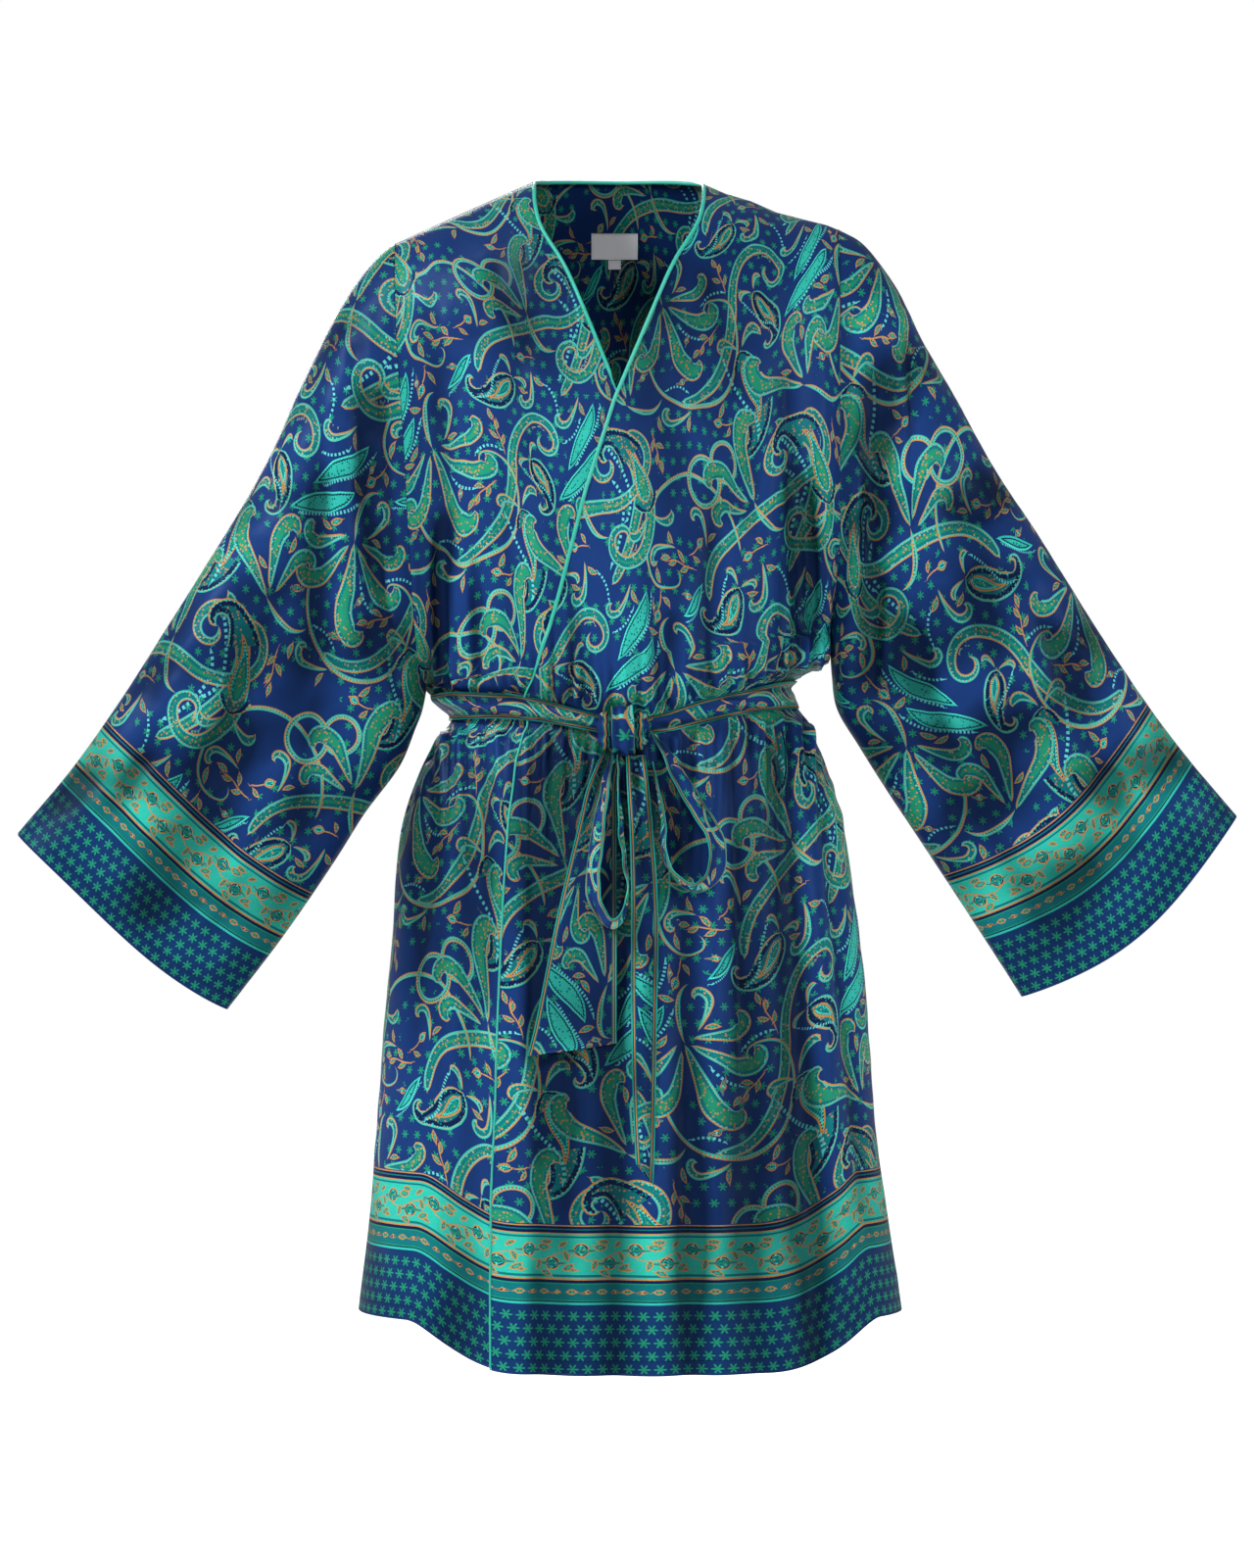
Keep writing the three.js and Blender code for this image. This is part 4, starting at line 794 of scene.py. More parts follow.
class Shader:
    """Short ways to add the nodes of one material."""

    def __init__(self, name):
        self.material = bpy.data.materials.new(name)
        self.material.use_nodes = True
        self.tree = self.material.node_tree
        self.surface = self.tree.nodes["Principled BSDF"]

    def fill(self, socket, value):
        """Fills an input from a plain number or colour, or from another node's output."""
        if isinstance(value, Value):
            self.tree.links.new(value.socket, socket)
        else:
            socket.default_value = value

    def put(self, kind, inputs=(), output=0, **settings):
        """One output of a new node with its inputs filled."""
        node = self.tree.nodes.new(kind)
        for key, value in settings.items():
            setattr(node, key, value)
        for key, value in dict(inputs).items():
            self.fill(node.inputs[key], value)
        return Value(self, node.outputs[output])

    def pick(self, share, a, b):
        """The number a where share is 0 and b where it is 1."""
        return self.put("ShaderNodeMix", {0: share, 2: a, 3: b})

    def mix(self, share, a, b):
        """The colour a where share is 0 and b where it is 1."""
        return self.put("ShaderNodeMix", {0: share, 6: a, 7: b}, 2, data_type="RGBA")

    def scaled(self, color, tone):
        """A colour made lighter or darker by a number."""
        return self.put("ShaderNodeVectorMath", {0: color, "Scale": tone}, operation="SCALE")

    def noise(self, at, scale, detail=2.0):
        return self.put("ShaderNodeTexNoise", {"Vector": at, "Scale": scale, "Detail": detail}, "Fac")

    def bump(self, height, strength, distance):
        return self.put("ShaderNodeBump", {"Height": height, "Strength": strength, "Distance": distance})

    def stored(self, name):
        """The three numbers of a vector stored on the cloth."""
        vector = self.put("ShaderNodeAttribute", output="Vector", attribute_name=name)
        parts = self.put("ShaderNodeSeparateXYZ", {0: vector}).socket.node
        return [Value(self, socket) for socket in parts.outputs]

    def bands(self, at, stops):
        """Colour and alpha of a ramp of plain bands, each from its place on."""
        node = self.put("ShaderNodeValToRGB", {0: at}).socket.node
        ramp = node.color_ramp
        ramp.interpolation = "CONSTANT"
        ramp.elements[0].position, ramp.elements[0].color = stops[0]
        ramp.elements[1].position, ramp.elements[1].color = stops[1]
        for place, color in stops[2:]:
            ramp.elements.new(place).color = color
        return [Value(self, socket) for socket in node.outputs]

    def finish(self, **values):
        """The material, with its surface's sockets filled by name."""
        for key, value in values.items():
            self.fill(self.surface.inputs[key.replace("_", " ")], value)
        return self.material


def stars(u, v, cell, size):
    """1 on small six-petalled stars set in staggered rows."""
    across, up = u / cell, v / cell
    row = up.do("FLOOR")
    x = (row * 0.5 + across).do("FRACT") - 0.5
    y = up - row - 0.5
    radius = (x * x + y * y).do("SQRT")
    petals = (y.do("ARCTAN2", x) * 3).do("COSINE")
    return radius < petals * petals * (size * 0.75 / cell) + size * 0.25 / cell


def ink_stops():
    """Stops of the two ramps that hold every kind's inks, for places on a bead and between two."""
    on, between = [], []
    for kind, inks in INKS.items():
        for depth, ink, other in inks:
            start = (kind + math.sqrt(depth / INK_DEPTH)) / len(INKS)
            on.append((start, ink))
            between.append((start, other))
    return on, between


def printed_layer(shader, k, freckles, clear, under):
    """Lays the strokes of layer k over the colour beneath, where clear is 1."""
    way, off, packed = shader.stored(f"ink{k}")
    kind = (packed / KIND_STEP).do("FLOOR")
    away = abs(off)
    depth = packed - kind * KIND_STEP - HALF_BASE - away
    slant = away * FROND_SLANT * kind.do("COMPARE", FROND, 0.1)
    bead = (way + slant).do("PINGPONG", 0.5) * 2
    shown = depth - bead * SCALLOP * (depth > 0.8)
    place = (shown.do("MAXIMUM", 0) / INK_DEPTH).do("SQRT")
    place = (place.do("MINIMUM", 0.999) + kind) / len(INKS)
    on_bead, between = (shader.bands(place, stops) for stops in ink_stops())
    loose = kind.do("COMPARE", DOTS, 0.1)
    chosen = shader.pick(depth + loose < OUTLINE, bead < 0.5, off > 0)
    chosen = shader.pick(depth > BEADS_END, chosen, freckles)
    color = shader.mix(chosen, between[0], on_bead[0])
    alpha = shader.pick(chosen, between[1], on_bead[1])
    return shader.mix((depth > 0) * alpha * clear, under, color)


def print_ground(shader, flat, u, v, height):
    """What lies under the strokes: starred navy, or the border's bands with their stars."""
    starred = stars(u, v, *FIELD_STARS) * (shader.noise(flat, 0.016, 1.0) > STAR_PATCHES)
    field = shader.mix(starred, NAVY, GREEN)
    top = BORDER_TOP * 1.02
    trim = shader.bands(height / top, [(start / top, ink) for start, ink in TRIM_BANDS])[0]
    in_stars = (height < TRIM_STARS_TO) * (height > TRIM_STARS_FROM)
    trim = shader.mix(stars(u, height, *TRIM_STARS) * in_stars, trim, GREEN)
    return shader.mix(height < BORDER_TOP, field, trim)


def strap_edges(shader, height, color):
    """The lines printed along the sash's edges."""
    in_strap = height - STRAP
    stops = [(start / STRAP_LINES_WIDTH, ink) for start, ink in STRAP_LINES]
    lines = shader.bands(in_strap / STRAP_LINES_WIDTH, stops)[0]
    return shader.mix(in_strap.do("COMPARE", STRAP_LINES_WIDTH / 2, STRAP_LINES_WIDTH / 2), color, lines)


def satin_print(name, inside):
    """The printed satin: the print, its border, the weave's fine streaks, and shade and light painted into
    its colour along the folds.
    """
    shader = Shader(name)
    u, v, height = shader.stored("cloth")
    flat = shader.put("ShaderNodeCombineXYZ", {0: u, 1: v})
    settings = {"Vector": flat, "Scale": FRECKLE_SCALE, "Randomness": 0.75}
    freckles = shader.put("ShaderNodeTexVoronoi", settings, "Distance") < FRECKLE_SIZE
    color = print_ground(shader, flat, u, v, height)
    clear = abs(height - CLEAR_BAND[0]) > CLEAR_BAND[1]
    for k in range(LAYERS):
        color = printed_layer(shader, k, freckles, clear, color)
    color = strap_edges(shader, height, color)

    thread = shader.put("ShaderNodeVectorMath", {0: flat, 1: (2.6, 0.13, 1)}, operation="MULTIPLY")
    streaks = shader.noise(thread, 1.0)
    in_hem = height.do("COMPARE", *HEM_STITCHES)
    stitch = in_hem * (u.do("PINGPONG", 1.3) > 0.35)
    # Painted shade: the stored fold value darkens the colour in troughs, under the bow and by the knot, and
    # lightens it on ridges.
    fold = shader.put("ShaderNodeAttribute", output="Fac", attribute_name="fold")
    shadow = fold * FOLD_SHADOW["share"] + FOLD_SHADOW["base"]
    shadow = shadow.do("MAXIMUM", FOLD_SHADOW["least"]).do("MINIMUM", FOLD_SHADOW["most"])
    tone = (streaks * 0.26 + 0.87) * (shader.noise(flat, 0.011) * 0.24 + 0.88) * shadow
    tone = tone * (stitch * -0.5 + 1) * (INSIDE_DIM if inside else 1)
    bump = shader.bump(in_hem * -0.6 + streaks, 0.16, 0.0006)
    return shader.finish(Base_Color=shader.scaled(color, tone), Normal=bump,
                         Roughness=streaks * 0.12 + (0.58 if inside else 0.36),
                         Specular_IOR_Level=0.06 if inside else 0.13, Specular_Tint=SATIN_GLOSS)


def satin_plain(name):
    """Plain satin for the piping, with fine slanting threads and small pulls along it."""
    shader = Shader(name)
    place = shader.put("ShaderNodeTexCoord", output="Object")
    threads = shader.put("ShaderNodeTexWave", {"Vector": place, "Scale": 700.0, "Distortion": 3.0}, "Fac")
    drift = shader.noise(place, 90.0)
    tone = threads * 0.14 + 0.82 + drift * 0.2
    return shader.finish(Base_Color=shader.scaled(PIPING_COLOR[:3], tone), Roughness=drift * 0.2 + 0.28,
                         Normal=shader.bump(threads, 0.3, 0.0003), Sheen_Weight=0.1)


def woven_label(name, half_width, half_height):
    """Fine woven tape, blank, with a line of stitches just inside its edge."""
    shader = Shader(name)
    x, z, _ = shader.stored("cloth")
    weave = (x.do("PINGPONG", 0.22) + z.do("PINGPONG", 0.3)) * 1.9
    from_side = abs(x) * -1 + half_width
    from_end = abs(z) * -1 + half_height
    edge = from_side.do("MINIMUM", from_end)
    stitch = edge.do("COMPARE", 1.2, 0.22) * ((x + z).do("PINGPONG", 0.9) > 0.3)
    tone = weave * 0.16 + 0.9 - stitch * 0.3
    return shader.finish(Base_Color=shader.scaled(LABEL_COLOR[:3], tone), Roughness=0.62,
                         Normal=shader.bump(weave, 0.4, 0.0002), Sheen_Weight=0.1)


# ---------- cloth meshes ----------

SHELL = 0.9  # drawn thickness of the cloth
NOISE_WAVES = 7
COLUMN_STEP = {"back": 2.7, "front": 2.3, "sleeve": 2.35}
ROW_STEP = {"back": 2.7, "front": 2.35, "sleeve": 2.4}
LAP_BLEND = 70.0  # depth below the shoulder over which a front takes up its lift
NO_BORDER = 1500.0  # height above the hem given to cloth that has no printed border
STRAP = 2000.0  # and to the sash's, with the distance from its edge lines added


def noise(x, y, size, seed):
    """Soft uneven waves about size long, from -1 to 1."""
    random = np.random.default_rng(seed)
    total = np.zeros(np.broadcast(x, y).shape)
    for _ in range(NOISE_WAVES):
        turn, phase = random.uniform(0, np.pi), random.uniform(0, 2 * np.pi)
        length = size * random.uniform(0.7, 1.6)
        total += np.sin((x * math.cos(turn) + y * math.sin(turn)) * 2 * np.pi / length + phase)
    return total / 3.2


def new_object(name, points, faces):
    """A smooth mesh from points in millimetres and arrays of triangles or quads."""
    mesh = bpy.data.meshes.new(name)
    mesh.vertices.add(len(points))
    mesh.vertices.foreach_set("co", (np.asarray(points) * MM).astype(np.float32).ravel())
    corners = np.concatenate([np.asarray(part, np.int32).ravel() for part in faces])
    sizes = np.concatenate([np.full(len(part), np.shape(part)[1]) for part in faces])
    mesh.loops.add(len(corners))
    mesh.loops.foreach_set("vertex_index", corners)
    mesh.polygons.add(len(sizes))
    mesh.polygons.foreach_set("loop_start", (np.cumsum(sizes) - sizes).astype(np.int32))
    mesh.update(calc_edges=True)
    mesh.polygons.foreach_set("use_smooth", np.full(len(sizes), True))
    made = bpy.data.objects.new(name, mesh)
    bpy.context.scene.collection.objects.link(made)
    return made


def grid_faces(rows, columns, closed=False, start=0, turned=False):
    """Quads of a grid of points numbered from start, row by row."""
    across = columns if closed else columns - 1
    r, c = np.meshgrid(np.arange(rows - 1), np.arange(across), indexing="ij")
    after = (c + 1) % columns
    quads = [r * columns + c, (r + 1) * columns + c, (r + 1) * columns + after, r * columns + after]
    quads = np.stack([quad.ravel() for quad in quads], 1) + start
    return quads[:, ::-1] if turned else quads


def rim_faces(outer, inner, kept, turned=False):
    """Faces between a run of outer points and the inner ones that lie behind those kept."""
    middle = kept[:-1] + (kept[1:] - kept[:-1]) // 2
    quads = np.stack([outer[middle], outer[kept[1:]], inner[1:], inner[:-1]], 1)
    skips = middle > kept[:-1]
    corners = np.stack([outer[kept[:-1]], outer[middle], inner[:-1]], 1)[skips]
    return [quads[:, ::-1], corners[:, ::-1]] if turned else [quads, corners]


def thinned(count, fine=(0, 0)):
    """Every other index, but each one between the two of fine, ending on the last."""
    return np.array([i for i in range(count) if i % 2 == 0 or fine[0] <= i < fine[1] or i == count - 1])


def cloth(name, grid, flat, closed=False, fine_rows=(0, 0), fine_columns=(0, 0), repeat_shift=(0, 0)):
    """A thin shell of printed cloth behind a grid of points. flat holds, for each point, its place on the
    flat cloth, its height above the hem, and how far it stands out of or down into a fold, which paints
    shade and light into the print's colour. The side within is coarser, but for its fine rows and columns."""
    rows, columns = grid.shape[:2]
    normals = grid_normals(grid, closed)
    down = thinned(rows, fine_rows)
    over = np.arange(0, columns, 2) if closed else thinned(columns, fine_columns)
    inner = (grid - normals * SHELL)[np.ix_(down, over)]
    points = np.concatenate([grid.reshape(-1, 3), inner.reshape(-1, 3)])
    within = rows * columns
    faces = [grid_faces(rows, columns, closed), grid_faces(len(down), len(over), closed, within, True)]
    at = np.arange(within).reshape(rows, columns)
    behind = within + np.arange(len(down) * len(over)).reshape(len(down), len(over))
    if closed:
        at, behind = (np.concatenate([numbers, numbers[:, :1]], 1) for numbers in (at, behind))
        over = np.append(over, columns)
    else:
        faces += rim_faces(at[:, 0], behind[:, 0], down) + rim_faces(at[:, -1], behind[:, -1], down, True)
    faces += rim_faces(at[0], behind[0], over, True) + rim_faces(at[-1], behind[-1], over)
    counts = [len(part) for part in faces]
    made = new_object(name, points, faces)
    within_flat = flat[np.ix_(down, over[over < columns])]
    flat_all = np.concatenate([flat.reshape(-1, 4), within_flat.reshape(-1, 4)])
    dress(made, flat_all, repeat_shift)
    inside = np.zeros(sum(counts), np.int32)
    inside[counts[0]:counts[0] + counts[1]] = 1
    made.data.polygons.foreach_set("material_index", inside)
    return made


def store(mesh, name, values, domain="POINT"):
    """Stores one number or a vector of three for each point or corner of a mesh."""
    values = np.asarray(values, np.float32)
    kind, field = ("FLOAT_VECTOR", "vector") if values.ndim == 2 else ("FLOAT", "value")
    attribute = mesh.attributes.new(name, kind, domain)
    attribute.data.foreach_set(field, values.ravel())


def dress(made, flat, repeat_shift):
    """Stores the cloth's flat coordinates on its points, and its printed strokes on its faces' corners."""
    mesh = made.data
    store(mesh, "cloth", flat[:, :3])
    # The fold value, which paints shade and light into the print's colour.
    store(mesh, "fold", flat[:, 3])
    starts, sizes = (np.zeros(len(mesh.polygons), np.int32) for _ in range(2))
    mesh.polygons.foreach_get("loop_start", starts)
    mesh.polygons.foreach_get("loop_total", sizes)
    at = np.zeros(len(mesh.loops), np.int32)
    mesh.loops.foreach_get("vertex_index", at)
    corners = flat[at]
    centres = np.add.reduceat(corners, starts) / sizes[:, None]
    shifted = [places[:, :2] + repeat_shift for places in (centres, corners)]
    field = print_fields(FIELD, FIELD_REPEAT, *shifted, starts, sizes)
    if centres[:, 2].min() < BORDER_TOP:
        trim = print_fields(TRIM, TRIM_REPEAT, centres[:, [0, 2]], corners[:, [0, 2]], starts, sizes)
        in_border = np.repeat(centres[:, 2] < BORDER_TOP, sizes)
        field[:, in_border] = trim[:, in_border]
    for k in range(LAYERS):
        store(mesh, f"ink{k}", field[k], "CORNER")
    mesh.materials.append(SATIN)
    mesh.materials.append(SATIN_INSIDE)


# ---------- front, back and sleeves ----------

# Slight waves of worn satin: their height, the squeeze of their way up and down, their size and their seed.
WAVES = {
    "body": (0.5, 0.6, 26, 9),
    "body_broad": (1.4, 0.24, 84, 4),
    "sleeve": (0.5, 1, 26, 19),
    "sleeve_broad": (1.3, 1, 78, 14),
}
GATHER_HEIGHT = 2.6
# How far the gathers run from the sash, and by how much that varies.
GATHER_REACH = {"above": (46, 22), "below": (66, 30)}
FOLD_SHARE = 0.7  # how much of a panel's broad folds counts for the shade painted into its colour
KNOT_SHADE = {"drop": 62, "width": 42, "height": 62, "depth": 4.5}  # the bow's soft shadow, painted into the front's colour
SLEEVE_GIRTH = 290  # half a sleeve's way round and its length, for counting columns and rows
SLEEVE_LENGTH = 470
BACK_SHIFT = 400  # how far the waves of a sleeve's back half are moved from those of its front half
SETTLE_END = 0.4  # share of its length over which a sleeve takes up the armhole's own shape


def even_rows(step, front):
    """Row numbers whose points lie step apart down the panel."""
    fine = np.linspace(0, LAST_ROW, 4000)
    z = body_point(np.full_like(fine, 0.55), fine, front)[:, 2]
    count = round((z[0] - z[-1]) / step)
    return np.interp(np.linspace(z[0], z[-1], count + 1), z[::-1], fine[::-1])


def section_way(across):
    """Length of cloth from the centre to a column, at the skirt's middle height."""
    fine = np.linspace(-1, 1, 801)
    section = body_point(fine, np.full_like(fine, HIP_ROW + 5.0), True)
    way = way_along(section[None], 1)[0]
    return np.interp(across, fine, way - np.interp(0, fine, way))


def waves(kind, x, z):
    """One kind of slight waves in the cloth."""
    height, squeeze, size, seed = WAVES[kind]
    return height * noise(x, z * squeeze, size, seed)


def worn(grid, front, across):
    """How far the creases, gathers and slight waves of worn satin lift each point of a body panel, and
    how far they stand out of the folds for the shade painted into the colour, where the broad waves count
    for more."""
    x, z = grid[..., 0], grid[..., 2]
    rise = gathers(x, z, front) - fold_depth(FRONT_CREASES if front else BACK_CREASES, x, z)
    calm = smooth(z, HEM_SIDE_Z - 40, HEM_SIDE_Z + 60) * smooth(-z, 10, 70)
    rise += waves("body", x, z) * calm
    broad = waves("body_broad", x, z) * calm
    at_seam = smooth(1 - np.abs(across), 0, 0.05)
    return (rise + broad) * at_seam, (rise + 2.4 * broad) * at_seam


def gathers(x, z, front):
    """Small uneven gathers that run up and down from the sash."""
    above = z - sash_height(x, front) - SASH["height"] / 2
    below = -above - SASH["height"]
    up, up_varies = GATHER_REACH["above"]
    down, down_varies = GATHER_REACH["below"]
    reach = np.where(above > 0, up + up_varies * noise(x, 0, 61, 2), down + down_varies * noise(x, 0, 47, 3))
    away = np.maximum(np.maximum(above, below), 0) / reach
    wave = np.sin(x * 0.37 + 2.4 * noise(x, z * 0.2, 70, 5)) * (0.6 + 0.4 * noise(x, z * 0.1, 40, 6))
    wave = wave + 0.5 * np.sin(x * 0.83 + 2 * noise(x, z * 0.3, 50, 7))
    return GATHER_HEIGHT * wave * np.exp(-away * away) * smooth(away, 0, 0.16)


def panel(front, across, rows, lift):
    """A body panel from across (row, column) values, lifted where it laps: its outer points, and four
    numbers for each: along from the centre, up from the hem, up again, and its height out of a fold for
    painted shade, lowered on the front by the bow's painted shadow."""
    grid = body_point(across, rows[:, None], front)
    lift = lift * smooth(-grid[..., 2], 0, LAP_BLEND)
    rise, fold = worn(grid, front, across)
    up = way_along(grid[::-1], 0)[::-1]
    x, z = grid[..., 0], grid[..., 2]
    fold = fold - FOLD_SHARE * body_folds(x, z, front)
    if front:
        # The bow's painted shadow on the front, below the knot.
        beside = (x - KNOT["x"]) / KNOT_SHADE["width"]
        below = (z - KNOT["z"] + KNOT_SHADE["drop"]) / KNOT_SHADE["height"]
        fold = fold - KNOT_SHADE["depth"] * np.exp(-beside ** 2 - below ** 2)
    flat = np.stack([section_way(across), up, up, fold], -1)
    return grid + grid_normals(grid) * (lift + rise)[..., None], flat


def lap_share(across):
    """1 over the middle of the front, where the two fronts lap, and 0 at its sides."""
    return 1 - smooth(np.abs(across), 0.5, 0.85)


def spread(start, end, step):
    """Columns between two across values a row, step apart at the hem."""
    width = abs(section_way(end[-1]) - section_way(start[-1]))
    share = np.linspace(0, 1, round(width / step) + 1)
    return start[:, None] + (end - start)[:, None] * share[None]


def make_panels():
    """The two fronts and the back, each with its outer points and their numbers."""
    rows = even_rows(ROW_STEP["front"], True)
    ends = np.ones_like(rows)
    over = spread(edge_across(OVER_EDGE, rows), ends, COLUMN_STEP["front"])
    under = spread(-ends, edge_across(UNDER_EDGE, rows), COLUMN_STEP["front"])
    back_rows = even_rows(ROW_STEP["back"], False)
    ends = np.ones_like(back_rows)
    back = spread(ends, -ends, COLUMN_STEP["back"])
    return {
        "front_left": panel(True, over, rows, OVER_LIFT * lap_share(np.maximum(over, 0))),
        "front_right": panel(True, under, rows, UNDER_LIFT * lap_share(np.minimum(under, 0))),
        "back": panel(False, back, back_rows, np.zeros_like(back)),
    }


def rounded_curve(points):
    """A smooth curve through points, as a function of the share of its length."""
    points = np.array([2 * points[0] - points[1], *points, 2 * points[-1] - points[-2]])
    fine = []
    for a, b, c, d in zip(points, points[1:], points[2:], points[3:]):
        before, here, after = (math.sqrt(math.dist(p, q)) for p, q in ((a, b), (b, c), (c, d)))
        start = ((b - a) / before - (c - a) / (before + here) + (c - b) / here) * here
        end = ((c - b) / here - (d - b) / (here + after) + (d - c) / after) * here
        t = np.linspace(0, 1, 40, endpoint=False)[:, None]
        fine.append(b * (1 - 3 * t ** 2 + 2 * t ** 3) + c * (3 * t ** 2 - 2 * t ** 3)
                    + start * (t - 2 * t ** 2 + t ** 3) + end * (t ** 3 - t ** 2))
    fine = np.concatenate([*fine, points[-2][None]])
    way = way_along(fine[None], 1)[0]
    return lambda share: np.stack([np.interp(share * way[-1], way, column) for column in fine.T], -1)


def sleeve_section(share):
    """Half depth of a sleeve's section by the share of the way from its upper fold to its seam."""
    rise = np.sqrt(1 - (1 - np.minimum(share / CHEST_SHARE, 1)) ** 2)
    foot = np.clip((share - 0.86) / 0.14, 0, 1)
    return rise * (1 - 0.5 * smooth(share, 0.3, 0.9)) * np.sqrt(1 - foot * foot)


def armhole_ring(side):
    """A sleeve's first ring: its points, how far down the armhole each lies, and which are in front."""
    sign = SIDES[side]["sign"]
    fine = np.linspace(0, ARM_ROWS, 900)
    edge = body_point(np.full_like(fine, sign), fine, True)
    way = way_along(edge[None], 1)[0]
    half = round(SLEEVE_GIRTH / COLUMN_STEP["sleeve"])
    down = np.interp(np.linspace(0, way[-1], half + 1), way, fine)
    row = np.concatenate([down, down[-2:0:-1]])
    on_front = np.arange(len(row)) <= half
    share = arm_share(row)
    front_edge, back_edge = (body_point(np.full_like(row, sign), row, front) for front in (True, False))
    start = np.where(on_front[:, None], front_edge, back_edge)
    start[[0, half], 1] = 0
    start = start + np.array([sign * SEAM_GAP, 0, 0])
    start[:, 2] += SEAM_GAP * smooth(share, 0.9, 1)
    return start, share, on_front


def sleeve_surface(side, start, share, on_front):
    """The sleeve's smooth points as a function of the share of the way from the armhole to the cuff."""
    sign = SIDES[side]["sign"]
    cuff_bow, bow_skew = CUFFS[side]
    ends = (start[0], start[on_front.sum() - 1])
    top, bottom = (rounded_curve([end[[0, 2]], *np.stack(list(rows.values()), 1)])
                   for end, rows in zip(ends, SLEEVES[side]))

    def points(along):
        upper, lower = top(along), bottom(along)
        bow = cuff_bow * np.sin(np.pi * share ** bow_skew) * smooth(along, 0.3, 1)
        outward = np.stack([upper[..., 1] - lower[..., 1], lower[..., 0] - upper[..., 0]], -1) * sign
        outward /= np.linalg.norm(outward, axis=-1, keepdims=True)
        plane = upper + (lower - upper) * share[:, None] + outward * bow[..., None]
        x, z = plane[..., 0], plane[..., 1]
        depth = curve(SLEEVE_DEPTH, "share", "depth", along) * sleeve_section(share)
        fold = fold_depth(SLEEVE_FOLDS[side], x, z) * np.minimum(depth / 20, 1)
        y = np.maximum(depth - fold * smooth(along, 0, 0.15), 0) * np.where(on_front, -1, 1)
        return np.stack([x, y, z], -1)

    return points


def make_sleeve(side):
    """A sleeve's outer points, ring by ring from the armhole to the cuff, and four numbers for each: round
    from the upper fold, up from the cuff, up again, and its height out of a fold, for painted shade."""
    sign = SIDES[side]["sign"]
    start, share, on_front = armhole_ring(side)
    surface = sleeve_surface(side, start, share, on_front)
    count = round(SLEEVE_LENGTH / ROW_STEP["sleeve"])
    along = np.linspace(0, 1, count + 1)[:, None] * np.ones(len(start))
    settle = 1 - smooth(along, 0, SETTLE_END)
    grid = surface(along) + (start - surface(along[:1] * 0)) * settle[..., None]
    normals = grid_normals(grid, True) * -sign
    x, z = grid[..., 0], grid[..., 2]
    rise = -fold_depth(SLEEVE_CREASES[side], x, z) * np.where(on_front, 1, 0.8)
    shifted = x + np.where(on_front, 0, BACK_SHIFT)
    broad = waves("sleeve_broad", shifted, z)
    rise += broad + waves("sleeve", shifted, z)
    held = smooth(along, 0, 0.06) * smooth(1 - along, 0, 0.08) * np.minimum(sleeve_section(share) * 1.6, 1)
    rise *= held
    fold = rise + 1.4 * broad * held - FOLD_SHARE * fold_depth(SLEEVE_FOLDS[side], x, z)
    round_way = way_along(np.concatenate([grid, grid[:, :1]], 1), 1)[round(count * 0.75)]
    to_cuff = way_along(grid[::-1], 0)[::-1]
    u = np.broadcast_to(round_way[:-1], to_cuff.shape)
    u = np.where(on_front, u, u - round_way[-1])
    flat = np.stack([u, to_cuff, to_cuff, fold], -1)
    grid = grid + normals * rise[..., None]
    if side == "left":
        return grid[:, ::-1], flat[:, ::-1]
    return grid, flat


# ---------- sash, knot, bow and tails ----------

BOW_WIDTH = 26.0  # the folded strap that makes the bow's loops
BOW_STEP = 1.5
TAIL_STEP = 2.0
TAIL_COLUMNS = {"wide": 31, "narrow": 17}
SASH_ROWS = 13
SASH_COLUMNS = 300  # in each half of the way round
KNOT_ROWS = 72
KNOT_COLUMNS = 120
KNOT_GROOVE = {"at": 0.5, "width": 0.13, "deep": 0.24}  # the grooves beside the turn of cloth that binds it


def at_height(across, z, front, lift):
    """Points lifted off the body surface at given heights, one for each across value."""
    rows = np.linspace(0, LAST_ROW, 620)
    line = body_point(across[:, None], rows[None], front)
    near = np.argmax(line[..., 2] <= z[:, None], axis=1)
    pick = np.arange(len(across))
    above, below = line[pick, near - 1], line[pick, near]
    share = ((above[:, 2] - z) / (above[:, 2] - below[:, 2]))[:, None]
    tangent = np.gradient(above + (below - above) * share, axis=0)
    normal = np.stack([tangent[:, 1], -tangent[:, 0], np.zeros(len(across))], 1)
    normal /= np.linalg.norm(normal, axis=1, keepdims=True)
    turned = np.sign(normal[:, 1] * (-1 if front else 1))
    turned = np.where(np.abs(normal[:, 1]) < 0.05, np.sign(normal[:, 0] * across), turned)
    return above + (below - above) * share + normal * (turned * lift)[:, None]


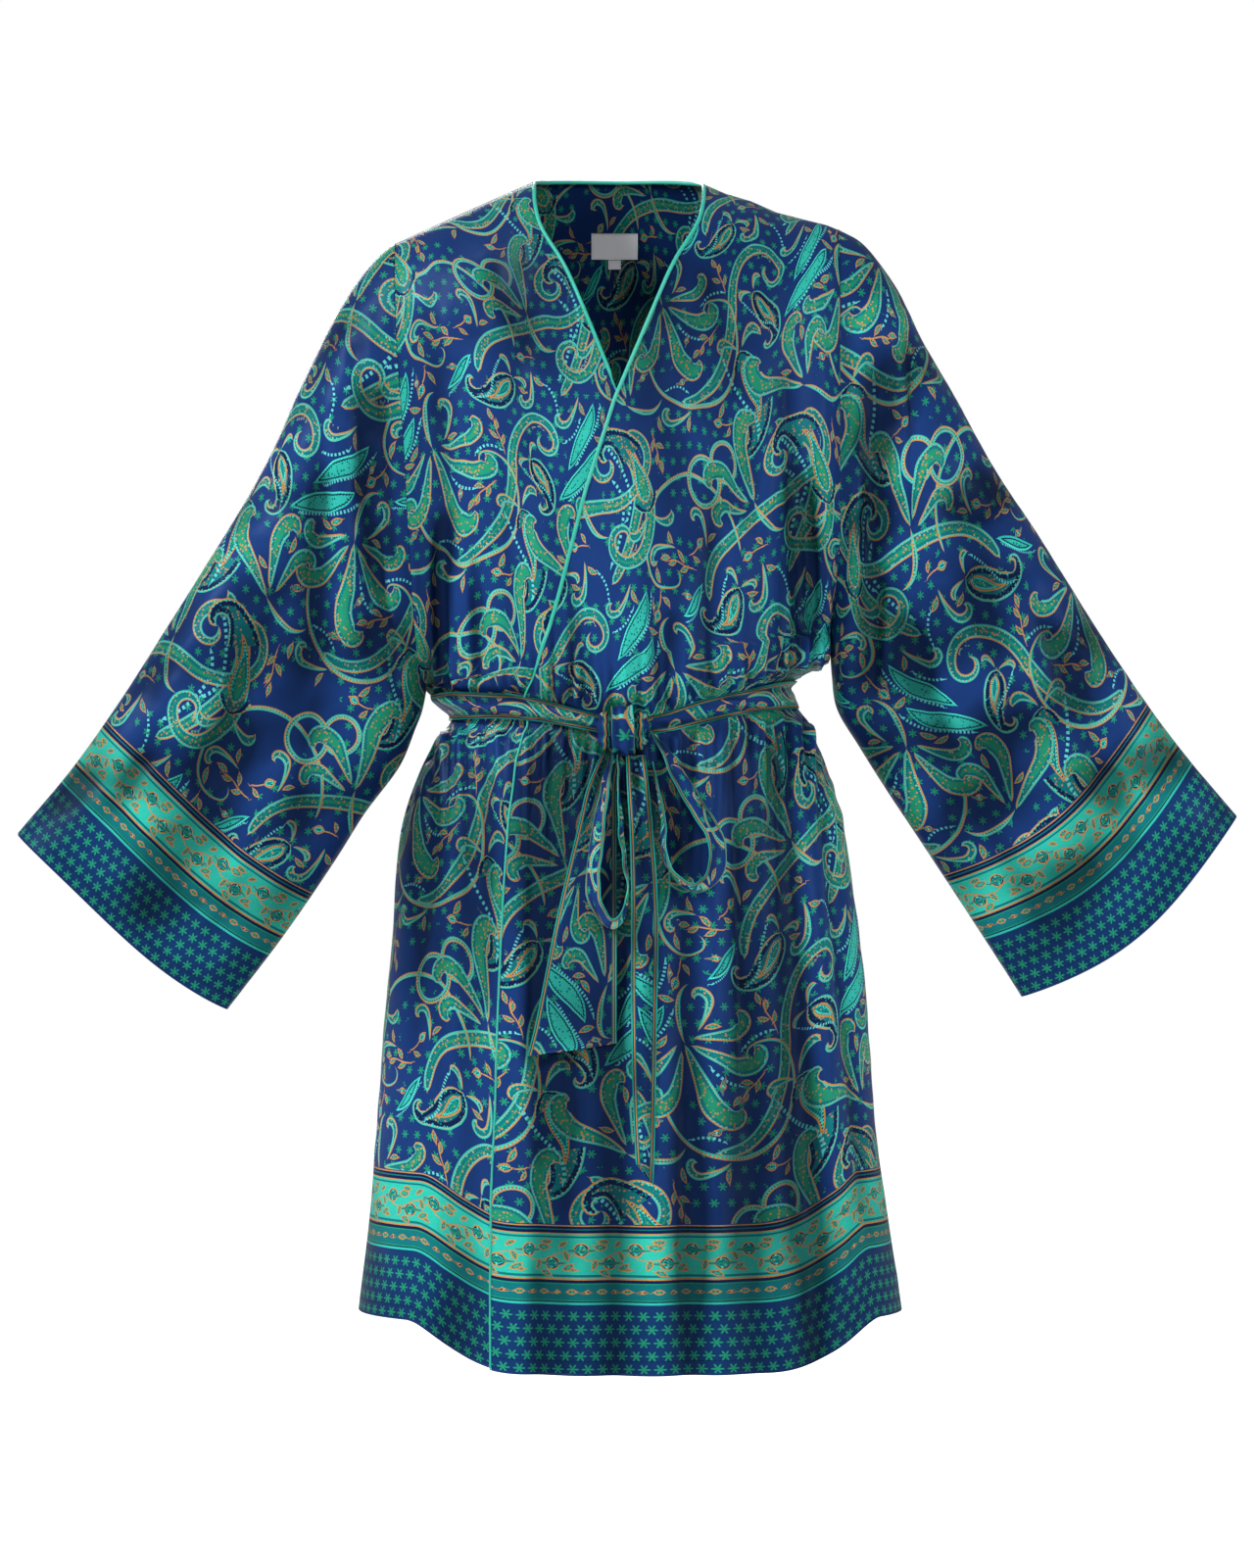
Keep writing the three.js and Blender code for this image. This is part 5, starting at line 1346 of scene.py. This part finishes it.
def make_sash():
    """The sash's outer points, bottom to top, once round from the left seam, the front first."""
    grid, fold = [], []
    for height in np.linspace(-0.5, 0.5, SASH_ROWS):
        ring = []
        for front in (True, False):
            across = np.linspace(1, -1, SASH_COLUMNS + 1)[:-1] * (1 if front else -1)
            share = smooth(1 - np.abs(across), 0, 0.4) if front else 0 * across
            lift = SASH_LIFT_BACK + (SASH_LIFT_FRONT - SASH_LIFT_BACK) * share + SASH["wall"]
            x = body_width(across, np.full_like(across, SASH["z"])) * np.sin(across * np.pi / 2)
            to_knot = np.exp(-((x - KNOT["x"]) / 62) ** 2) if front else 0 * x
            ridges = 0.9 * np.cos(height * 9 + 1.6 * noise(x, height * 9, 60, 31))
            ridges += 0.5 * np.sin(x * 0.16 + height * 14 + 2 * noise(x, 0, 70, 33))
            rounded = -1.9 * (2 * height) ** 4
            pinch = 1 - 0.3 * to_knot
            slack = 1.2 * noise(x, 0, 90, 35)
            z = sash_height(x, front) + height * SASH["height"] * pinch + slack * (height + 0.5)
            ring.append(at_height(across, z, front, lift + ridges + rounded))
            # Painted shade: darker in the sash's troughs and next to the knot, lighter on its ridges.
            fold.append(2.2 * (ridges + rounded) - 3 * to_knot ** 8)
        grid.append(np.concatenate(ring))
    grid = np.array(grid)
    u = np.broadcast_to(way_along(grid, 1)[SASH_ROWS // 2], grid.shape[:2])
    v = way_along(grid, 0)
    fold = np.concatenate(fold).reshape(u.shape)
    return grid, np.stack([u, v, STRAP + np.minimum(v, v[-1] - v), fold], -1)


def make_knot():
    """The knot: a lump bound by one turn of cloth, with creases running into its grooves."""
    around = np.linspace(0, 2 * np.pi, KNOT_COLUMNS, endpoint=False)
    turn, rise = np.meshgrid(around, np.linspace(0.02, np.pi - 0.02, KNOT_ROWS))
    point = np.stack([np.cos(turn) * np.sin(rise), np.sin(turn) * np.sin(rise), np.cos(rise)], -1)
    shape = np.sign(point) * np.abs(point) ** 0.75
    x, z = point[..., 0], point[..., 2]
    from_groove = (np.abs(x) - KNOT_GROOVE["at"]) / KNOT_GROOVE["width"]
    size = 1 - KNOT_GROOVE["deep"] * np.exp(-from_groove ** 2)
    bound = np.abs(x) < KNOT_GROOVE["at"]
    size += np.where(bound, 0.06 * np.cos(x * 21 + 1.3 * z), 0.03 * np.sin(z * 15))
    size += 0.02 * noise(x * 20, z * 20, 12, 51)
    half = np.array([KNOT["half_width"], KNOT["half_depth"], KNOT["half_height"]])
    grid = shape * half * size[..., None] + np.array([KNOT["x"], KNOT["y"], KNOT["z"]])
    to_edge = np.abs(from_groove) * KNOT_GROOVE["width"] * KNOT["half_width"] - 0.6
    to_edge = np.where(to_edge < 0, NO_BORDER, to_edge)
    # The fourth number paints shade into the knot's grooves and light on its swells.
    return grid, np.stack([turn / (2 * np.pi) * 90, rise * 18, STRAP + to_edge, 22 * (size - 1)], -1)


def finer(rows, step):
    """A table's columns along a smooth curve through its rows, step apart."""
    names = list(rows)
    points = np.stack([rows[name] for name in names], 1)
    at = np.linspace(0, len(points) - 1, 60 * len(points))
    padded = np.array([2 * points[0] - points[1], *points, 2 * points[-1] - points[-2]])
    i = np.minimum(at.astype(int), len(points) - 2)
    t = (at - i)[:, None]
    a, b, c, d = padded[i], padded[i + 1], padded[i + 2], padded[i + 3]
    fine = 2 * b + (c - a) * t + (2 * a - 5 * b + 4 * c - d) * t ** 2 + (3 * b - a - 3 * c + d) * t ** 3
    fine = fine / 2
    xz = fine[:, [names.index("z")] + [names.index(n) for n in names if n in ("x", "x0")]]
    way = way_along(xz[None], 1)[0]
    even = np.linspace(0, way[-1], max(2, round(way[-1] / step)) + 1)
    return {name: np.interp(even, way, fine[:, k]) for k, name in enumerate(names)}, even


def make_loop(side):
    """One loop of the bow: a strap that leaves the knot, turns round its foot and comes back."""
    rows, way = finer(BOW_LOOPS[side], BOW_STEP)
    share = np.linspace(0, 1, 11)[None]
    x = rows["x"][:, None] + rows["across"][:, None] * share
    y = rows["y"][:, None] - BOW_DEPTH * share
    z = rows["z"][:, None] + rows["rise"][:, None] * share
    grid = np.stack([x, y, z], -1)
    if side == "left":
        grid = grid[:, ::-1]
    normals = grid_normals(grid)
    at = way[:, None]
    end = smooth(at, 0, 14) * smooth(way[-1] - at, 0, 14)
    bulge = 1.5 * np.sin(np.pi * share) + 0.8 * np.sin(2.2 * np.pi * share + at / 13)
    bulge = bulge + 0.9 * noise(at, share * 15, 24, 61 + len(way))
    grid = grid + normals * (bulge * end)[..., None]
    to_edge = np.minimum(share, 1 - share) * BOW_WIDTH
    # Painted shade: darker where the loop leaves and meets the knot, and in its troughs.
    fold = 1.6 * bulge - 5 * (1 - smooth(at, 4, 34)) - 3 * (1 - smooth(way[-1] - at, 4, 30))
    flat = [np.broadcast_to(part, x.shape) for part in (share * BOW_WIDTH, at, STRAP + to_edge, fold)]
    return grid, np.stack(flat, -1)


def make_tail(name):
    """A hanging end of the sash, creased lengthways where it leaves the knot."""
    rows, way = finer(TAILS[name], TAIL_STEP)
    columns = TAIL_COLUMNS[name]
    share = np.linspace(0, 1, columns)
    last = len(way) - 1
    grid, fold = [], []
    for r, at in enumerate(way):
        skew = TAIL_SKEW[name] * smooth(np.array(float(r)), last - 9, last)
        z = rows["z"][r] + skew * (share if name == "wide" else 1 - share)
        x = rows["x0"][r] + (rows["x1"][r] - rows["x0"][r]) * share
        width = body_width(np.where(x < 0, -1.0, 1.0), z)
        across = np.arcsin(x / width) / (np.pi / 2)
        front = at_height(across, z, True, 0 * across)
        near = math.exp(-at / 60)
        crease = 2.8 * near * np.sin(share * 9 + 0.6 + at / 60)
        crease += 1.2 * noise(share * 60, at, 60, 71 + columns)
        crease += 1.6 * (1 - near) * np.sin(share * 5.2 + 1.1) * math.exp(-at / 260)
        y = front[:, 1] - rows["lift"][r] - crease * smooth(np.array(at), 0, 14)
        grid.append(np.stack([x, y, z], -1))
        # Painted shade: the tail is a little darker all over and darker still where it leaves the knot, with
        # its creases shaded.
        fold.append(1.4 * crease - 5 * math.exp(-at / 14) - 1.5)
    grid = np.array(grid)
    wide = (rows["x1"] - rows["x0"]).max()
    to_edge = np.minimum(share, 1 - share) * (rows["x1"] - rows["x0"])[:, None]
    flat = [share * wide, way[:, None], STRAP + to_edge, np.array(fold)]
    return grid, np.stack([np.broadcast_to(part, grid.shape[:2]) for part in flat], -1)


# ---------- piping and label ----------

def tube(name, points, radii, sides=10):
    """A closed tube of round section along a run of points."""
    tangent = np.gradient(points, axis=0)
    tangent /= np.linalg.norm(tangent, axis=1, keepdims=True)
    across = np.cross(tangent, (0, -1, 0))
    across /= np.linalg.norm(across, axis=1, keepdims=True)
    up = np.cross(across, tangent)
    turn = np.linspace(0, 2 * np.pi, sides, endpoint=False)
    ring = across[:, None] * np.cos(turn)[None, :, None] + up[:, None] * np.sin(turn)[None, :, None]
    ends = [np.arange(sides)[::-1][None], (len(points) - 1) * sides + np.arange(sides)[None]]
    return new_object(name, (points[:, None] + ring * radii[:, None, None]).reshape(-1, 3),
                      [grid_faces(len(points), sides, True), *ends])


def make_piping(panels):
    """The piping's run: up the lapping front's edge, round the back of the neck, down the other front's."""
    def beside(grid, edge, within, radii):
        """Points beside one edge of a panel, outwards from the column within it."""
        out = grid[:, edge] - grid[:, within]
        out /= np.linalg.norm(out, axis=1, keepdims=True)
        return grid[:, edge] + out * (radii + 0.2)[:, None]

    over, under, back = (panels[name][0] for name in ("front_left", "front_right", "back"))
    sizes = [np.where(over[:, 0, 2] < PIPING["thin_over"], PIPING["thin"], PIPING["radius"]),
             np.where(under[:, -1, 2] < PIPING["thin_under"], PIPING["thin"], PIPING["radius"])]
    up = beside(over, 0, 2, sizes[0])[::-1]
    down = beside(under, -1, -3, sizes[1])
    in_neck = np.abs(back[0, :, 0] - NECK["centre"]) < NECK["half"] - 5
    neck = back[0, in_neck] + np.array([0, 0, PIPING["radius"] * 0.6])
    points = np.concatenate([up, neck, down])
    radii = np.concatenate([sizes[0][::-1], np.full(len(neck), PIPING["radius"]), sizes[1]])
    for _ in range(3):
        points[1:-1] = (points[:-2] + 2 * points[1:-1] + points[2:]) / 4
        radii[1:-1] = (radii[:-2] + 2 * radii[1:-1] + radii[2:]) / 4
    return tube("piping_cord", points, radii)


def make_label(name, facts):
    """A woven label on the inner face of the back, slightly curled along its free lower edge."""
    x = facts["x"] + facts["width"] * np.linspace(-0.5, 0.5, 41)
    grid = []
    for share in np.linspace(0, 1, 25):
        z = np.full_like(x, facts["z"] + facts["height"] * (0.5 - share))
        side_x = np.where(x < 0, SIDES["right"]["tip_x"], SIDES["left"]["tip_x"])
        across = np.arcsin(x / side_x * math.sin(ARMHOLE_ANGLE)) / ARMHOLE_ANGLE
        line = at_height(across, z, False, np.full_like(x, -(WALL + 2 * SEAM_GAP + facts["wall"])))
        line[:, 0] = x
        line[:, 1] -= 0.7 * share ** 3 + 0.25 * np.sin(x / 7) * share
        grid.append(line)
    grid = np.array(grid)
    normals = grid_normals(grid)
    normals *= np.sign(-normals[..., 1:2])
    rows, columns = grid.shape[:2]
    points = np.concatenate([grid.reshape(-1, 3), (grid - 0.5 * normals).reshape(-1, 3)])
    count = rows * columns
    faces = [grid_faces(rows, columns), grid_faces(rows, columns, False, count, True)]
    at = np.arange(count).reshape(rows, columns)
    for edge, turned in ((at[0], True), (at[-1], False), (at[:, 0], False), (at[:, -1], True)):
        faces += rim_faces(edge, edge + count, np.arange(len(edge)), turned)
    made = new_object(name, points, faces)
    place = np.stack([grid[..., 0] - facts["x"], grid[..., 2] - facts["z"], np.zeros(grid.shape[:2])], -1)
    store(made.data, "cloth", np.concatenate([place, place]).reshape(-1, 3))
    return made


# ---------- floor and light ----------

FLOOR_Z = -1.32
FLOOR_HALF = 7.0
FLOOR_GLOW = 0.8
SKY_SEEN = 1.0
SKY_LIGHT = 0.34
AIM = Vector((0, 0, -0.45))
# Each light's place, its size and its power.
LIGHTS = {
    "key": ((-2.5, -1.5, 1.7), (0.6, 0.9), 118),
    "fill": ((2.7, -1.5, 0.2), (0.6, 1.2), 34),
    "front": ((0.1, -3.4, 0.5), (1.2, 1.2), 26),
    "rear": ((-0.6, 3.2, 0.9), (1.4, 1.4), 60),
}


def seen_only(tree, seen, lit):
    """A number that is seen for what the camera sees and lit for the light that falls on things."""
    path = tree.nodes.new("ShaderNodeLightPath")
    chosen = tree.nodes.new("ShaderNodeMix")
    tree.links.new(path.outputs["Is Camera Ray"], chosen.inputs[0])
    chosen.inputs[2].default_value = lit
    chosen.inputs[3].default_value = seen
    return chosen.outputs[0]


def backdrop():
    """A pale floor with nothing behind it but white."""
    half = FLOOR_HALF / MM
    corners = [(x, y, FLOOR_Z / MM) for x, y in ((-half, -half), (half, -half), (half, half), (-half, half))]
    floor = new_object("floor", corners, [np.array([[0, 1, 2, 3]])])
    paper = Shader("floor")
    glow = Value(paper, seen_only(paper.tree, FLOOR_GLOW, 0.0))
    floor.data.materials.append(paper.finish(Base_Color=(0.9, 0.9, 0.9, 1), Roughness=0.95,
                                             Emission_Color=(1, 1, 1, 1), Emission_Strength=glow))


def area_light(name, place, size, power):
    data = bpy.data.lights.new(name, "AREA")
    data.shape = "RECTANGLE"
    data.size, data.size_y = size
    data.energy = power
    light = bpy.data.objects.new(name, data)
    bpy.context.scene.collection.objects.link(light)
    light.location = place
    light.rotation_euler = (AIM - Vector(place)).to_track_quat("-Z", "Y").to_euler()


def studio():
    backdrop()
    for name, facts in LIGHTS.items():
        area_light(name, *facts)
    world = bpy.data.worlds.new("world")
    world.use_nodes = True
    sky = world.node_tree.nodes["Background"]
    sky.inputs["Color"].default_value = (1, 1, 1, 1)
    world.node_tree.links.new(seen_only(world.node_tree, SKY_SEEN, SKY_LIGHT), sky.inputs["Strength"])
    bpy.context.scene.world = world
    bpy.context.scene.view_settings.view_transform = "Standard"


# ---------- the robe ----------

# How far each piece's print is moved on from the others', across and up.
PRINT_SHIFT = {
    "front_left": (20, 0), "front_right": (82, 140), "back": (140, 60), "sleeve_left": (60, 30),
    "sleeve_right": (150, 190), "sash": (0, 40), "sash_knot": (30, 90), "bow_loop_left": (90, 20),
    "bow_loop_right": (90, 20), "sash_tail_wide": (10, 70), "sash_tail_narrow": (10, 70),
}
FINE_NECK = 190  # the back's inner side is as fine as its outer side this far down behind the neck


def cloth_area(grid, closed):
    """Area of a grid's quads, in square metres."""
    if closed:
        grid = np.concatenate([grid, grid[:, :1]], 1)
    a, b = grid[1:, 1:] - grid[:-1, :-1], grid[1:, :-1] - grid[:-1, 1:]
    return float(np.linalg.norm(np.cross(a, b), axis=-1).sum() / 2 * MM * MM)


def as_sheet(made, grid, closed=False, with_pieces=()):
    """Works out a piece's flat cut: its greatest width and length, and its area, and does nothing more with
    them.
    """
    ring = np.concatenate([grid, grid[:, :1]], 1) if closed else grid
    width = way_along(ring, 1)[:, -1].max() * MM
    length = way_along(grid, 0)[-1].max() * MM
    area = min(cloth_area(grid, closed), width * length)


def stands_for(made, node):
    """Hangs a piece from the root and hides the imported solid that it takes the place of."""
    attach(made, "root")
    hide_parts(node)
    return made


def columns_near_neck(grid):
    """The first and last column of a panel's top that lie in the neck."""
    inside = np.nonzero(np.abs(grid[0, :, 0] - NECK["centre"]) < NECK["half"] + 14)[0]
    return inside[0], inside[-1] + 1


def add_cloth(node, grid, flat, closed=False, **fine):
    """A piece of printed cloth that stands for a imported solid."""
    name = node.replace("sash_knot", "knot") + "_cloth"
    made = cloth(name, grid, flat, closed, repeat_shift=PRINT_SHIFT[node], **fine)
    return stands_for(made, node)


def add_tied_cloth():
    """The sleeves, and the sash with its knot, loops and tails, each listed with what holds it."""
    kinds = [("sleeve_" + side, make_sleeve(side), "hung", ["front_" + side, "back"], True)
             for side in ("left", "right")]
    kinds.append(("sash", make_sash(), "gathered", ["front_left", "front_right", "back"], True))
    kinds.append(("sash_knot", make_knot(), "folded", ["sash"], True))
    kinds += [("bow_loop_" + side, make_loop(side), "folded", ["sash_knot"], False)
              for side in ("left", "right")]
    kinds += [("sash_tail_" + width, make_tail(width), "hung", ["sash_knot"], False)
              for width in ("wide", "narrow")]
    for node, (grid, flat), held, rests_on, closed in kinds:
        as_sheet(add_cloth(node, grid, flat, closed), grid, closed)


def add_label():
    """The woven label, and the size tab that is sewn on with it."""
    for name, facts in (("neck_label", LABEL), ("size_tab", SIZE_TAB)):
        tape = make_label(name + "_tape", facts)
        tape.data.materials.append(woven_label(name, facts["width"] / 2, facts["height"] / 2))
        stands_for(tape, name)


def dress_robe():
    panels = make_panels()
    made = {}
    for name, (grid, flat) in panels.items():
        fine = {}
        if name == "back":
            fine["fine_rows"] = (0, round(FINE_NECK / ROW_STEP["back"]))
            fine["fine_columns"] = columns_near_neck(grid)
        made[name] = add_cloth(name, grid, flat, **fine)
    add_tied_cloth()
    cord = make_piping(panels)
    cord.data.materials.append(satin_plain("satin_piping"))
    stands_for(cord, "piping")
    add_label()
    for name, (grid, _) in panels.items():
        as_sheet(made[name], grid, with_pieces=[cord] if name == "front_left" else [])


SATIN = satin_print("satin_print", False)
SATIN_INSIDE = satin_print("satin_inside", True)
studio()
dress_robe()
